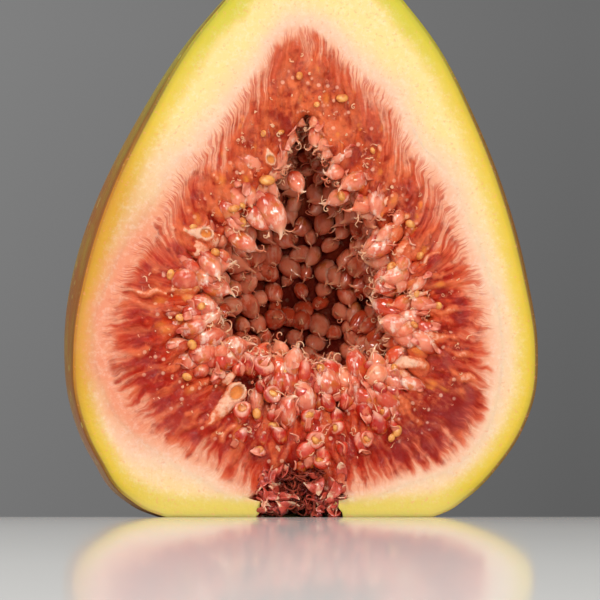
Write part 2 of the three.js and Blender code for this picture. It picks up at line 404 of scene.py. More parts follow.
def rough_noise(points: Array, size: float, seed: float = 0.0) -> Array:
    """Smooth noise from -1 to 1 at some points, with lumps of about size mm."""
    shift = Vector((seed * 17.3, seed * -5.1, seed * 9.7))
    return np.array([noise.noise(Vector(p) / size + shift) for p in points])


# ------------------------------ materials


class NodeTree:
    """Short-hand for building the nodes of a material, or of the surround.

    Args:
        owner: the name of a new material, or the world that the nodes are for.
    """

    def __init__(self, owner: Union[str, bpy.types.World]) -> None:
        """Starts with the owner's own shader."""
        self.owner = bpy.data.materials.new(owner) if isinstance(owner, str) else owner
        self.owner.use_nodes = True
        self.nodes = self.owner.node_tree.nodes
        self.links = self.owner.node_tree.links
        self.shader = self.nodes["Principled BSDF" if isinstance(owner, str) else "Background"]

    def node(self, kind: str, inputs: Optional[dict] = None, **settings) -> bpy.types.Node:
        """Adds a node.

        Args:
            kind: the node's type, without its ShaderNode prefix.
            inputs: values or sockets for its inputs, by name or index.
            settings: properties of the node.

        Returns:
            The node.
        """
        made = self.nodes.new("ShaderNode" + kind)
        for key, value in settings.items():
            setattr(made, key, value)
        for key, value in (inputs or {}).items():
            if isinstance(value, Socket):
                self.links.new(value, made.inputs[key])
            else:
                made.inputs[key].default_value = value
        return made

    def math(self, operation: str, first: Value, second: Value = 0.0) -> Socket:
        """Arithmetic on one or two values."""
        return self.node("Math", {0: first, 1: second}, operation=operation).outputs[0]

    def times(self, *factors: Value) -> Socket:
        """The product of values."""
        return reduce(lambda first, second: self.math("MULTIPLY", first, second), factors)

    def plus(self, *terms: Value) -> Socket:
        """The sum of values."""
        return reduce(lambda first, second: self.math("ADD", first, second), terms)

    def minus(self, first: Value, *others: Value) -> Socket:
        """A value less some others."""
        return reduce(lambda left, other: self.math("SUBTRACT", left, other), others, first)

    def attribute(self, name: str) -> Socket:
        """A number painted on the mesh."""
        return self.node("Attribute", attribute_name=name).outputs["Fac"]

    def place(self, scale: Color = (1, 1, 1)) -> Socket:
        """Object coordinates in mm, stretched by a scale."""
        where = self.node("TexCoord").outputs["Object"]
        size = tuple(s / MM for s in scale)
        return self.node("Mapping", {"Vector": where, "Scale": size}).outputs["Vector"]

    def axes(self) -> tuple[Socket, Socket, Socket]:
        """The x, y and z of object coordinates, in mm."""
        return tuple(self.node("SeparateXYZ", {0: self.place()}).outputs)

    def facing(self) -> Socket:
        """0 where the surface faces the eye, towards 1 at its outline."""
        return self.node("LayerWeight", {"Blend": 0.4}).outputs["Facing"]

    def noise(self, where: Socket, scale: float, detail: float, rough: float = 0.5) -> Socket:
        """Noise from 0 to 1 over some coordinates."""
        inputs = {"Vector": where, "Scale": scale, "Detail": detail, "Roughness": rough}
        return self.node("TexNoise", inputs).outputs["Fac"]

    def speckle(
        self, size: float, detail: float = 3.0, scale: Color = (1, 1, 1), rough: float = 0.55
    ) -> Socket:
        """Noise with lumps of about size mm, from 0 to 1."""
        return self.noise(self.place(scale), 1 / size, detail, rough)

    def dots(self, density: float, scale: Color = (1, 1, 1)) -> Socket:
        """The distance from scattered points, of which about density lie in each mm."""
        inputs = {"Vector": self.place(scale), "Scale": density}
        return self.node("TexVoronoi", inputs).outputs["Distance"]

    def flowing(
        self, size: float, stretch: float, detail: float = 3.0, seed: float = 0.0
    ) -> Socket:
        """Noise drawn out along the flower stalks of the pulp, from 0 to 1.

        Args:
            size: how wide its lumps are across the stalks, in mm.
            stretch: how many times longer they are along the stalks.
            detail: how many finer layers it has.
            seed: gives another pattern.

        Returns:
            The noise.
        """
        run = self.plus(self.attribute("flow_run"), self.times(self.speckle(2.4, 2.0), 1.6))
        inputs = {
            0: self.math("DIVIDE", run, size),
            1: self.math("DIVIDE", self.attribute("flow_into"), size * stretch),
            2: seed,
        }
        return self.noise(self.node("CombineXYZ", inputs).outputs[0], 1.0, detail)

    def ramp(self, value: Socket, stops: Sequence[tuple[float, Color]]) -> Socket:
        """Colours along a value.

        Args:
            value: the value, from 0 to 1.
            stops: places along it and their colours, in order.

        Returns:
            The colour.
        """
        made = self.node("ValToRGB", {"Fac": value})
        elements = made.color_ramp.elements
        elements[0].position, elements[1].position = stops[0][0], stops[-1][0]
        for position, _ in stops[1:-1]:
            elements.new(position)
        for element, (_, color) in zip(elements, stops):
            element.color = (*color, 1)
        return made.outputs["Color"]

    def fit(
        self,
        value: Socket,
        low: float,
        high: float,
        to_low: float = 0.0,
        to_high: float = 1.0,
        way: str = "SMOOTHSTEP",
    ) -> Socket:
        """Maps a span of a value to another span, held at its ends.

        Args:
            value: the value.
            low: the start of its span.
            high: the end of its span.
            to_low: what the start becomes.
            to_high: what the end becomes.
            way: how it runs between them: smoothly, or LINEAR.

        Returns:
            The mapped value.
        """
        names = ("Value", "From Min", "From Max", "To Min", "To Max")
        inputs = dict(zip(names, (value, low, high, to_low, to_high)))
        return self.node("MapRange", inputs, interpolation_type=way).outputs["Result"]

    def layers(self, below: Tint, *above: tuple[Value, Tint]) -> Socket:
        """Lays colours over a colour, each where its share is above 0.

        Args:
            below: the lowest colour.
            above: a share and a colour for each layer, from the lowest up.

        Returns:
            The colour on top.
        """
        for share, over in above:
            pair = [tint if isinstance(tint, Socket) else (*tint, 1) for tint in (below, over)]
            made = self.node("Mix", {0: share, 6: pair[0], 7: pair[1]}, data_type="RGBA")
            below = made.outputs[2]
        return below

    def bump(self, height: Socket, depth: Value, strength: float) -> None:
        """Gives the shader a relief.

        Args:
            height: the height, from 0 to 1.
            depth: what that stands for, in mm.
            strength: how strongly it shows.
        """
        distance = self.times(depth, MM) if isinstance(depth, Socket) else depth * MM
        inputs = {"Height": height, "Strength": strength, "Distance": distance}
        made = self.node("Bump", inputs).outputs["Normal"]
        self.feed("Normal", made)
        self.feed("Coat Normal", made)

    def feed(self, name: str, value: Socket) -> None:
        """Feeds one of the shader's inputs."""
        self.links.new(value, self.shader.inputs[name])

    def flesh(self, weight: float, reach: Triple) -> None:
        """Lets light into the surface, by a reach in mm for red, green and blue."""
        self.shader.inputs["Subsurface Weight"].default_value = weight
        self.shader.inputs["Subsurface Radius"].default_value = reach
        self.shader.inputs["Subsurface Scale"].default_value = MM

    def dress(self, color: Socket, **constants: float) -> Material:
        """Sets the shader's colour and its constants, by input name with _ for a space."""
        self.feed("Base Color", color)
        for key, value in constants.items():
            self.shader.inputs[key.replace("_", " ")].default_value = value
        return self.owner


@dataclass(frozen=True)
class WallFlesh:
    """The wall's cut flesh: yellow under the skin, then cream, and pink beside the pulp; towards the
    left edge it turns ochre and pinker, partly its own tone and partly painted shade.
    """

    skin_line: Color = srgb(128, 96, 42)
    green: Color = srgb(196, 170, 44)
    yellow: Color = srgb(226, 193, 54)
    butter: Color = srgb(233, 201, 90)
    cream: Color = srgb(244, 217, 145)
    blush: Color = srgb(244, 200, 168)
    pink: Color = srgb(236, 150, 114)
    lime: Color = srgb(196, 200, 52)
    ochre: Color = srgb(208, 136, 26)
    foot: Color = srgb(226, 206, 112)
    fibre: Color = (1.0, 0.93, 0.82)
    thickness: float = 6.0  # mm from the skin over which the colours change

    def color(self, tree: NodeTree) -> Socket:
        """The flesh's colour from its painted distances.

        Args:
            tree: the material that the nodes are added to. Its mesh carries skin_depth and
                pulp_gap, the distances in mm to the skin and to the pulp.

        Returns:
            The colour.
        """
        blur = tree.minus(tree.speckle(2.6, 4.0), 0.5)
        skin = tree.attribute("skin_depth")
        sway = tree.times(blur, tree.fit(skin, 0.2, 2.5, 0.0, 1.6))
        share = tree.math("DIVIDE", tree.plus(skin, sway), self.thickness)
        across = [
            (0.0, self.skin_line),
            (0.035, self.skin_line),
            (0.06, self.green),
            (0.14, self.yellow),
            (0.28, self.butter),
            (0.48, self.cream),
            (1.0, self.cream),
        ]
        left, _, high = tree.axes()
        ends = tree.plus(
            tree.fit(high, 40.0, 56.0, 0.0, 0.6), tree.fit(high, 7.0, 2.0, 0.0, 0.15)
        )
        gap = tree.plus(tree.attribute("pulp_gap"), tree.times(blur, 2.0))
        # Towards the left edge the pink band widens: painted shade on the side turned from the light.
        gap = tree.minus(gap, tree.fit(left, -12.0, -20.0, 0.0, 2.0))
        # Ochre towards the left edge, low and middle: partly the flesh's own tone, partly painted
        # shade.
        left_ochre_and_painted_shade = tree.times(
            tree.fit(left, -11.0, -20.0, 0.0, 0.65),
            tree.fit(high, 44.0, 32.0),
            tree.fit(high, 6.0, 17.0, 0.1, 1.0),
        )
        flushed = tree.times(
            tree.fit(gap, 5.4, 1.2),
            tree.fit(share, 0.18, 0.5),
            tree.fit(left_ochre_and_painted_shade, 0.0, 0.65, 1.0, 0.35),
        )
        fibres = tree.fit(tree.speckle(0.5, 5.0, rough=0.7), 0.45, 0.7)
        return tree.layers(
            tree.ramp(share, across),
            (tree.times(ends, tree.fit(share, 0.5, 0.2)), self.lime),
            (tree.fit(high, 3.6, 0.6, 0.0, 0.6), self.foot),
            (left_ochre_and_painted_shade, self.ochre),
            (flushed, self.blush),
            (tree.fit(gap, 2.2, -0.8), self.pink),
            (tree.times(fibres, tree.fit(share, 0.08, 0.4, 0.0, 0.2)), self.fibre),
            (tree.fit(tree.speckle(0.35, 3.0), 0.58, 0.74, 0.0, 0.4), self.pink),
        )

    def build(self) -> Material:
        """The material of the wall's cut face."""
        tree = NodeTree("wall_flesh")
        tree.flesh(0.35, (1.4, 0.6, 0.25))
        tree.bump(tree.speckle(0.6, 5.0, rough=0.65), 0.09, 0.85)
        return tree.dress(
            self.color(tree),
            Roughness=0.45,
            Specular_IOR_Level=0.15,
            Coat_Weight=0.15,
            Coat_Roughness=0.25,
            Coat_IOR=1.35,
        )


@dataclass(frozen=True)
class FigSkin:
    """The thin skin: olive and yellow-green, with brown streaks that run along the fruit."""

    green: Color = srgb(150, 150, 46)
    gold: Color = srgb(178, 146, 50)
    brown: Color = srgb(128, 70, 34)
    pale: Color = srgb(198, 188, 96)
    rust: Color = srgb(160, 88, 28)
    moss: Color = srgb(104, 112, 40)
    straw: Color = srgb(196, 170, 112)

    def build(self) -> Material:
        """The material of the skin."""
        tree = NodeTree("fig_skin")
        height = tree.attribute("height")
        around = tree.times(tree.attribute("around"), 26.0)
        along = tree.node("CombineXYZ", {0: around, 1: height}).outputs[0]
        streak = tree.noise(along, 1.6, 6.0, 0.6)
        _, behind, high = tree.axes()
        behind = tree.plus(behind, CUT_PLANE)
        edge = tree.times(tree.fit(behind, 20.0, 5.0), tree.fit(high, 50.0, 34.0))
        worn = tree.plus(tree.speckle(5.0, 6.0, rough=0.65), tree.times(streak, 0.5))
        rubbed = tree.times(edge, tree.fit(worn, 0.52, 0.86, 0.4, 1.0), 0.9)
        brink = tree.plus(behind, tree.times(worn, 2.0))
        dried = tree.layers(self.straw, (tree.speckle(0.7, 5.0), self.brown))
        color = tree.layers(
            self.green,
            (tree.fit(tree.noise(along, 0.35, 3.0), 0.38, 0.66), self.gold),
            (
                tree.times(tree.fit(streak, 0.48, 0.72, 0.0, 0.6), tree.fit(height, 0.95, 0.2)),
                self.brown,
            ),
            (rubbed, self.rust),
            (tree.fit(brink, 3.4, 1.6, 0.0, 0.9), self.brown),
            (tree.fit(high, 54.0, 66.0, 0.0, 0.6), self.moss),
            (tree.fit(high, 67.6, 68.3), dried),
            (tree.fit(tree.dots(0.55, (1, 1, 0.7)), 0.17, 0.1, 0.0, 0.7), self.pale),
        )
        tree.flesh(0.12, (1.2, 0.7, 0.3))
        tree.bump(tree.plus(tree.speckle(0.6, 5.0), tree.times(streak, 1.2)), 0.12, 0.7)
        return tree.dress(
            color, Roughness=0.42, Specular_IOR_Level=0.22, Coat_Weight=0.1, Coat_Roughness=0.3
        )


@dataclass(frozen=True)
class PulpFlesh:
    """Wet red pulp: red jelly between pale stalks, with colours that run along the stalks, painted
    shade low down, in its hollow, its sunken parts and the eye's pit, and painted glints.
    """

    edge: Color = srgb(246, 190, 158)
    flush: Color = srgb(230, 138, 104)
    rose: Color = srgb(220, 96, 62)
    tawny: Color = srgb(206, 92, 48)
    deep: Color = srgb(146, 18, 4)
    red: Color = srgb(184, 34, 8)
    orange: Color = srgb(214, 72, 18)
    pink: Color = srgb(230, 108, 66)
    veil: Color = srgb(234, 118, 70)
    white: Color = srgb(250, 192, 160)
    gold: Color = srgb(236, 140, 48)
    # dark red, mostly painted shade: in the hollow's wall, where the face sinks back and in the eye's
    # pit
    dark_and_painted_shade: Color = srgb(84, 18, 10)
    crimson: Color = srgb(162, 22, 8)
    line: Color = srgb(204, 74, 44)

    def depth(self, tree: NodeTree, into: Socket, high: Socket, corner: Socket) -> Socket:
        """How far into the pulp a point seems to lie, with tongues that run along the stalks.

        Args:
            tree: the material.
            into: the distance in mm from the wall into the pulp.
            high: the height in mm.
            corner: how strongly a point belongs to the darker lower right.

        Returns:
            The depth in mm.
        """
        tongue = tree.minus(tree.flowing(0.8, 6.5), 0.5)
        broad = tree.minus(tree.flowing(4.0, 1.5, 2.0, 5.0), 0.5)
        sway = tree.plus(tree.times(tongue, 8.5), tree.times(broad, 5.0))
        sway = tree.times(sway, tree.fit(into, -2.4, 0.4))
        sway = tree.plus(sway, tree.fit(high, 24.0, 34.0, 0.0, 0.7))
        sway = tree.minus(sway, tree.fit(high, 46.0, 50.0, 0.0, 1.0), corner)
        return tree.minus(into, sway)

    def thin_lines(self, tree: NodeTree, into: Socket, high: Socket) -> Socket:
        """Fine lines along the stalks where the pulp meets the wall.

        Args:
            tree: the material.
            into: the distance in mm from the wall into the pulp.
            high: the height in mm.

        Returns:
            How strong a line is, from 0 to 1.
        """
        fine = tree.math("ABSOLUTE", tree.minus(tree.flowing(0.5, 12.0, 2.0, 3.0), 0.5))
        near_wall = tree.times(
            tree.fit(into, -1.8, -0.5),
            tree.fit(into, 4.0, 1.5),
            tree.fit(tree.flowing(1.8, 2.0, 2.0, 11.0), 0.36, 0.56),
        )
        line = tree.times(tree.fit(fine, 0.05, 0.016, 0.0, 0.65), near_wall)
        return tree.times(line, tree.fit(high, 14.0, 28.0, 0.35, 1.0))

    def color(self, tree: NodeTree, into: Socket) -> Socket:
        """The pulp's colour, from the wall to the hollow.

        Args:
            tree: the material that the nodes are added to.
            into: the distance in mm from the wall into the pulp.

        Returns:
            The colour.
        """
        right, _, high = tree.axes()
        corner = tree.times(tree.fit(right, 5.0, 11.0, 0.0, 0.8), tree.fit(high, 18.0, 11.0))
        depth = self.depth(tree, into, high, corner)
        across = [
            (0.0, self.edge),
            (0.09, self.flush),
            (0.19, self.rose),
            (0.3, self.red),
            (0.42, self.deep),
            (0.56, self.red),
            (0.76, self.orange),
            (1.0, self.red),
        ]
        # Crimson over the lower pulp: painted shade that deepens towards the bottom.
        low = tree.times(
            tree.fit(high, 22.0, 10.0), tree.speckle(1.6, 3.0), tree.fit(into, 1.0, 4.0, 0.3, 1.25)
        )
        mottle, inner = tree.speckle(0.8, 5.0, rough=0.7), tree.fit(into, 1.5, 3.5)
        cloud = tree.speckle(3.2, 3.0)
        above = tree.times(tree.fit(high, 27.0, 33.0), tree.fit(into, 0.8, 2.6))
        streak = tree.fit(tree.flowing(0.95, 5.0, seed=7.0), 0.54, 0.7)
        grain = tree.minus(tree.speckle(0.5, 4.0), 0.5)
        pale = tree.plus(tree.attribute("pale"), tree.times(grain, 0.9))
        # White dots: painted glints of light on the wet pulp.
        dots = tree.times(
            tree.fit(tree.dots(0.95), 0.26, 0.14),
            tree.fit(into, 1.5, 3.0, 0.0, 0.6),
            tree.fit(tree.speckle(3.0, 1.0), 0.4, 0.5),
        )

        def within(share: Socket, *bounds: float) -> Socket:
            """A share, less where the depth lies outside some bounds."""
            return tree.times(share, tree.fit(depth, *bounds))

        return tree.layers(
            tree.ramp(tree.math("DIVIDE", tree.plus(depth, 0.7), 9.0), across),
            (within(tree.fit(high, 28.0, 42.0), 0.8, 3.0, 0.3, 0.8), self.tawny),
            # painted shade low down
            (tree.math("MINIMUM", low, 0.9), self.crimson),
            (tree.fit(tree.speckle(2.0, 2.0), 0.5, 0.75, 0.0, 0.5), self.orange),
            (tree.fit(tree.speckle(1.3, 4.0), 0.53, 0.3, 0.0, 0.75), self.deep),
            (within(corner, 0.2, 2.0), self.deep),
            (within(tree.fit(right, -6.0, -11.0, 0.0, 0.45), 0.2, 2.0), self.red),
            (tree.times(tree.fit(mottle, 0.5, 0.34, 0.0, 0.8), inner), self.deep),
            (tree.times(tree.fit(mottle, 0.52, 0.74, 0.0, 0.65), inner), self.veil),
            (tree.times(tree.fit(cloud, 0.5, 0.64, 0.0, 0.75), above), self.veil),
            (tree.times(tree.fit(cloud, 0.46, 0.34, 0.0, 0.75), above), self.deep),
            (tree.times(tree.fit(tree.flowing(1.7, 3.2, 3.0, 17.0), 0.5, 0.7), 0.5), self.veil),
            (tree.times(streak, 0.4), self.pink),
            (tree.fit(pale, 0.1, 0.9, 0.0, 0.9), self.veil),
            (tree.fit(pale, 0.7, 1.05), self.white),
            # painted glints
            (dots, self.white),
            (tree.attribute("gold"), self.gold),
            # painted shade from the mask, together with the split flowers' dark rings
            (tree.attribute("dark_and_painted_shade"), self.dark_and_painted_shade),
            (tree.fit(depth, 0.5, -1.0), WallFlesh().color(tree)),
            (self.thin_lines(tree, into, high), self.line),
        )

    def build(self) -> Material:
        """The material of the cut pulp and of the hollow's wall."""
        tree = NodeTree("pulp_flesh")
        color = self.color(tree, tree.attribute("flow_into"))
        tree.flesh(0.3, (0.8, 0.45, 0.28))
        dry = tree.attribute("wall")
        ridges = tree.times(tree.flowing(0.9, 5.0), tree.fit(dry, 0.9, 0.2))
        lumps = tree.plus(ridges, tree.speckle(0.6, 5.0, rough=0.65))
        tree.bump(lumps, tree.fit(dry, 0.2, 0.9, 0.32, 0.09), 0.85)
        lit = tree.fit(tree.attribute("dark_and_painted_shade"), 0.9, 0.3, 0.1, 1.0)
        damp = tree.fit(tree.speckle(1.4, 3.0), 0.42, 0.6, 0.15, 1.0)
        wet = tree.times(lit, tree.times(tree.fit(dry, 0.6, 0.05), damp))
        wet = tree.math("MAXIMUM", wet, tree.times(dry, 0.15))
        tree.feed("Coat Weight", tree.times(wet, tree.fit(tree.facing(), 0.35, 0.85, 1.0, 0.05)))
        tree.feed("Coat Roughness", tree.fit(dry, 0.05, 0.6, 0.08, 0.25))
        return tree.dress(color, Roughness=0.45, Specular_IOR_Level=0.1, Coat_IOR=1.38)


@dataclass(frozen=True)
class DrupeletFlesh:
    """Glossy see-through flesh of a flower: a pale rim round a darker core with its seed, with a
    painted glow at its outline, painted shade at its root and deep in the hollow, and pale streaks
    that are partly painted highlight.
    """

    name: str
    core: Color
    rosy: Color
    edge: Color
    rim: Color
    tip: Color
    root: Color
    seed: Color = srgb(214, 116, 40)
    pit: Color = srgb(206, 104, 44)
    # painted shade for flowers set deep in the hollow
    shade: Color = srgb(92, 22, 8)

    def build(self) -> Material:
        """The material of the flowers."""
        tree = NodeTree(self.name)
        along, facing = tree.attribute("along"), tree.facing()
        patchy = tree.minus(tree.speckle(1.1, 3.0), 0.5)
        # tint: a random tone per flower, raised on higher flowers by painted light
        tint = tree.plus(tree.attribute("tint"), tree.times(patchy, 1.6))
        glow = tree.fit(tree.speckle(1.3, 2.0), 0.5, 0.62, 0.0, 0.85)
        # Where the surface turns away from the eye its colour goes to edge: painted light, a
        # see-through glow at the outline, deeper red on the hollow's flowers.
        skin = tree.times(tree.fit(facing, 0.35, 0.95, 0.0, 0.6), tree.fit(along, 0.2, 0.6))
        # Pale streaks: partly the flesh's own paler patches, partly painted highlight.
        streak = tree.fit(tree.speckle(0.8, 4.0, (1.2, 1.2, 0.6)), 0.51, 0.67, 0.0, 0.7)
        color = tree.layers(
            self.core,
            (tree.fit(tint, 0.1, 0.9), self.rosy),
            (tree.times(glow, tree.fit(along, 0.75, 0.5)), self.seed),
            # The dark root is painted shade where a flower grows out from between its neighbours.
            (tree.fit(along, 0.6, 0.12), self.root),
            # painted glow at the outline
            (skin, self.edge),
            (tree.times(streak, tree.fit(along, 0.1, 0.5, 0.3, 1.0)), self.rim),
            (tree.fit(along, 0.82, 1.1, 0.0, 0.85), self.tip),
            (tree.attribute("pit"), self.pit),
            # painted shade that deepens for flowers set further back in the hollow
            (tree.attribute("sunk"), self.shade),
        )
        tree.flesh(0.4, (0.7, 0.45, 0.3))
        tree.bump(tree.speckle(0.6, 4.0, (1, 1, 0.6)), 0.1, 0.85)
        tree.feed("Coat Weight", tree.fit(facing, 0.15, 0.6, 1.0, 0.03))
        return tree.dress(
            color, Roughness=0.42, Specular_IOR_Level=0.08, Coat_Roughness=0.06, Coat_IOR=1.62
        )


# In each finish, edge is a painted outline glow, root is painted shade, and rim is partly painted
# highlight.
HOLLOW_FLESH = DrupeletFlesh(
    "hollow_flesh",
    core=srgb(224, 86, 46),
    rosy=srgb(248, 148, 110),
    edge=srgb(196, 74, 40),
    rim=srgb(254, 190, 158),
    tip=srgb(250, 178, 134),
    root=srgb(112, 22, 10),
)
RIM_FLESH = DrupeletFlesh(
    "rim_flesh",
    core=srgb(210, 70, 38),
    rosy=srgb(242, 142, 108),
    edge=srgb(238, 146, 112),
    rim=srgb(255, 224, 204),
    tip=srgb(252, 206, 172),
    root=srgb(196, 62, 32),
)
MOUND_FLESH = DrupeletFlesh(
    "mound_flesh",
    core=srgb(186, 30, 12),
    rosy=srgb(214, 62, 36),
    edge=srgb(208, 74, 46),
    rim=srgb(242, 140, 102),
    tip=srgb(250, 190, 162),
    root=srgb(150, 16, 6),
)


@dataclass(frozen=True)
class SeedShell:
    """Hard golden shell of a seed."""

    gold: Color = srgb(244, 172, 88)
    amber: Color = srgb(206, 108, 38)

    def build(self) -> Material:
        """The material of the seeds."""
        tree = NodeTree("seed_shell")
        patchy = tree.fit(tree.speckle(0.7, 3.0), 0.35, 0.7)
        color = tree.layers(self.gold, (patchy, self.amber))
        tree.flesh(0.2, (0.5, 0.3, 0.1))
        tree.bump(tree.speckle(0.25, 2.0), 0.04, 0.6)
        return tree.dress(color, Roughness=0.3, Coat_Weight=0.5, Coat_Roughness=0.12)


@dataclass(frozen=True)
class StyleHair:
    """Pale, slightly see-through hairs of the flowers."""

    name: str = "style_hair"
    pale: Color = srgb(250, 200, 158)
    rosy: Color = srgb(222, 118, 84)

    def build(self) -> Material:
        """The material of the hairs."""
        tree = NodeTree(self.name)
        patchy = tree.fit(tree.speckle(1.5, 2.0), 0.4, 0.62)
        color = tree.layers(self.pale, (patchy, self.rosy))
        tree.flesh(0.12, (0.3, 0.2, 0.15))
        return tree.dress(
            color, Roughness=0.4, Specular_IOR_Level=0.15, Coat_Weight=0.15, Coat_Roughness=0.15
        )


EYE_FIBRE = StyleHair("eye_fibre", srgb(168, 72, 52), srgb(96, 26, 18))


@dataclass(frozen=True)
class ScaleLeaf:
    """Thin torn skin, darker at the root and pale at the torn edge."""

    name: str
    root: Color
    pink: Color
    cream: Color

    def build(self) -> Material:
        """The material of the leaves."""
        tree = NodeTree(self.name)
        patchy = tree.times(tree.minus(tree.speckle(0.8, 3.0), 0.5), 1.6)
        edge = tree.plus(tree.attribute("along"), patchy)
        color = tree.layers(
            self.root,
            (tree.fit(edge, 0.0, 0.45), self.pink),
            (tree.fit(edge, 0.75, 1.2), self.cream),
        )
        tree.flesh(0.15, (0.4, 0.25, 0.2))
        tree.bump(tree.speckle(0.3, 3.0, (1, 1, 0.3)), 0.05, 0.7)
        return tree.dress(color, Roughness=0.35, Coat_Weight=0.4, Coat_Roughness=0.15)


SCALE_LEAF = ScaleLeaf("scale_leaf", srgb(132, 24, 16), srgb(206, 80, 62), srgb(252, 208, 170))
TORN_SKIN = ScaleLeaf("torn_skin", srgb(196, 60, 36), srgb(230, 128, 98), srgb(250, 190, 162))


# ------------------------------ wall


@dataclass
class Wall:
    """The fruit's wall with its neck and stalk: skin outside and cut flesh inside."""

    form: FigForm
    levels: int = 120
    around: int = 96
    across: int = 22
    cavity_rows: int = 10
    cavity_depth: float = 23.4
    inner_edge: float = 1.2  # mm outside the pulp's outline, under its overlapping edge
    cavity_shrink: float = 1.9  # how much the cavity draws in behind its rim
    eye_profile: Sequence[Pair] = (
        (0, -2),
        (5.8, -2),
        (5.8, -0.2),
        (5.6, 0.5),
        (5.25, 1.3),
        (5.3, 2.1),
        (5.7, 2.9),
        (6.3, 3.6),
        (6.9, 4.3),
        (0, 4.4),
    )

    @property
    def steps(self) -> int:
        """Steps along the whole outline of the cut face: two sides, the top and the foot."""
        return 2 * (self.levels + self.around)

    def heights(self, share: Array) -> Array:
        """Heights from the table to the stalk's top, closer together near the table."""
        return share**1.35 * self.form.stalk_top

    def outline(self, share: Array) -> Array:
        """The outer outline of the cut face, from the right foot round by the stalk.

        Args:
            share: 0 to 1 all the way round, with corners at whole steps of the four sides.

        Returns:
            Points [x, z] on the cut plane.
        """
        step = np.round(share * self.steps)
        top_end = self.levels + self.around
        foot_start = top_end + self.levels
        up = np.clip(step, 0, self.levels) / self.levels
        over = np.clip(step - self.levels, 0, self.around) / self.around
        down = np.clip(step - top_end, 0, self.levels) / self.levels
        back = np.clip(step - foot_start, 0, self.around) / self.around
        z = np.where(step <= top_end, self.heights(up), self.heights(1 - down))
        left, right = self.form.cut_edges(z)
        x = np.where(step <= self.levels, right, left)
        (top_left, foot_left), (top_right, foot_right) = self.form.cut_edges(
            np.array([self.form.stalk_top, 0.0])
        )
        on_top = (step > self.levels) & (step < top_end)
        x = np.where(on_top, top_right + (top_left - top_right) * over, x)
        x = np.where(step > foot_start, foot_left + (foot_right - foot_left) * back, x)
        return np.column_stack([x, z])

    def skin_depth(self, at: Array) -> Array:
        """The distance from points [x, z] of the cut plane to the cut's outer outline."""
        return distance_to(self.outline(np.linspace(0, 1, self.steps + 1)), at)

    def inner(self, share: Array) -> Array:
        """The inner outline of the cut face, in step with the outer one.

        Args:
            share: 0 to 1 all the way round, as in outline.

        Returns:
            Points [x, z] on the cut plane, in order even where the stalk leans over.
        """
        steps = np.linspace(0, 1, self.steps + 1)
        away = self.outline(steps) - self.form.middle
        turn = np.maximum.accumulate(np.unwrap(np.arctan2(away[:, 1], away[:, 0])))
        looped = np.concatenate([turn[-5:-1] - TURN, turn, turn[1:5] + TURN])
        turn = np.convolve(looped, np.full(9, 1 / 9), "valid")
        return self.form.pulp.at(np.interp(share, steps, turn), self.inner_edge)

    def skin_sheet(self) -> Mesh:
        """The skin from the right edge of the cut, round the back, to the left edge."""
        return sheet(self.around, self.levels, lambda u, v: self.form.skin(self.heights(v), u))

    def end_sheet(self, z: float, rows: int) -> Mesh:
        """The flat foot or the stalk's flat end, between the skin and the cut.

        Args:
            z: its height in mm.
            rows: rows of faces.

        Returns:
            The sheet.
        """

        def place(u: Array, v: Array) -> Array:
            """A point between the skin's arc and the cut's straight edge."""
            height = np.full_like(u, z)
            arc = self.form.skin(height, u)
            left, right = self.form.cut_edges(height)
            chord = on_cut(np.column_stack([right + (left - right) * u, height]))
            return arc + (chord - arc) * v[:, None]

        return sheet(self.around, rows, place)

    def cut_sheet(self) -> Mesh:
        """The cut face, from the skin to under the edge of the pulp."""

        def place(u: Array, v: Array) -> Array:
            """A point of the cut face, between its outer and inner outline."""
            outer = self.outline(u)
            return on_cut(outer + (self.inner(u) - outer) * v[:, None])

        return sheet(self.steps, self.across, place)

    def cavity_sheet(self) -> Mesh:
        """The pit behind the cut face that holds the pulp."""

        def place(u: Array, v: Array) -> Array:
            """A point of the pit, which draws in behind its rim."""
            rim = self.inner(u)
            away = rim - self.form.middle
            reach = np.hypot(*away.T)
            drawn = self.cavity_shrink * held(v * 6)
            rim = rim - away * (drawn / reach)[:, None]
            return self.form.bowl(rim, v, self.cavity_depth)

        return sheet(self.steps, self.cavity_rows, place)

    def cut_eye(self, wall: Mesh) -> Mesh:
        """Sinks the eye's pit into the foot of the wall.

        Args:
            wall: the closed wall, which is used up.

        Returns:
            The wall with the pit.
        """
        profile = np.array(self.eye_profile, float)

        def place(u: Array, v: Array) -> Array:
            """A point of the cutter, a round plug with an uneven side."""
            reach, z = profile[np.round(v * (len(profile) - 1)).astype(int)].T
            angle = TURN * u
            ring = np.column_stack([polar(angle, 2), z])
            reach = reach * (1 + 0.09 * rough_noise(ring, 1.1, 9))
            return np.column_stack([polar(angle, reach) + np.array(EYE_AXIS), z])

        cutter = shown("eye_cutter", joined([sheet(56, len(profile) - 1, place)]))
        body = shown("wall_body", wall)
        cut = body.modifiers.new("eye", "BOOLEAN")
        cut.operation, cut.solver, cut.object = "DIFFERENCE", "EXACT", cutter
        made = evaluated(body)
        for thing in (body, cutter):
            bpy.data.objects.remove(thing)
        return made

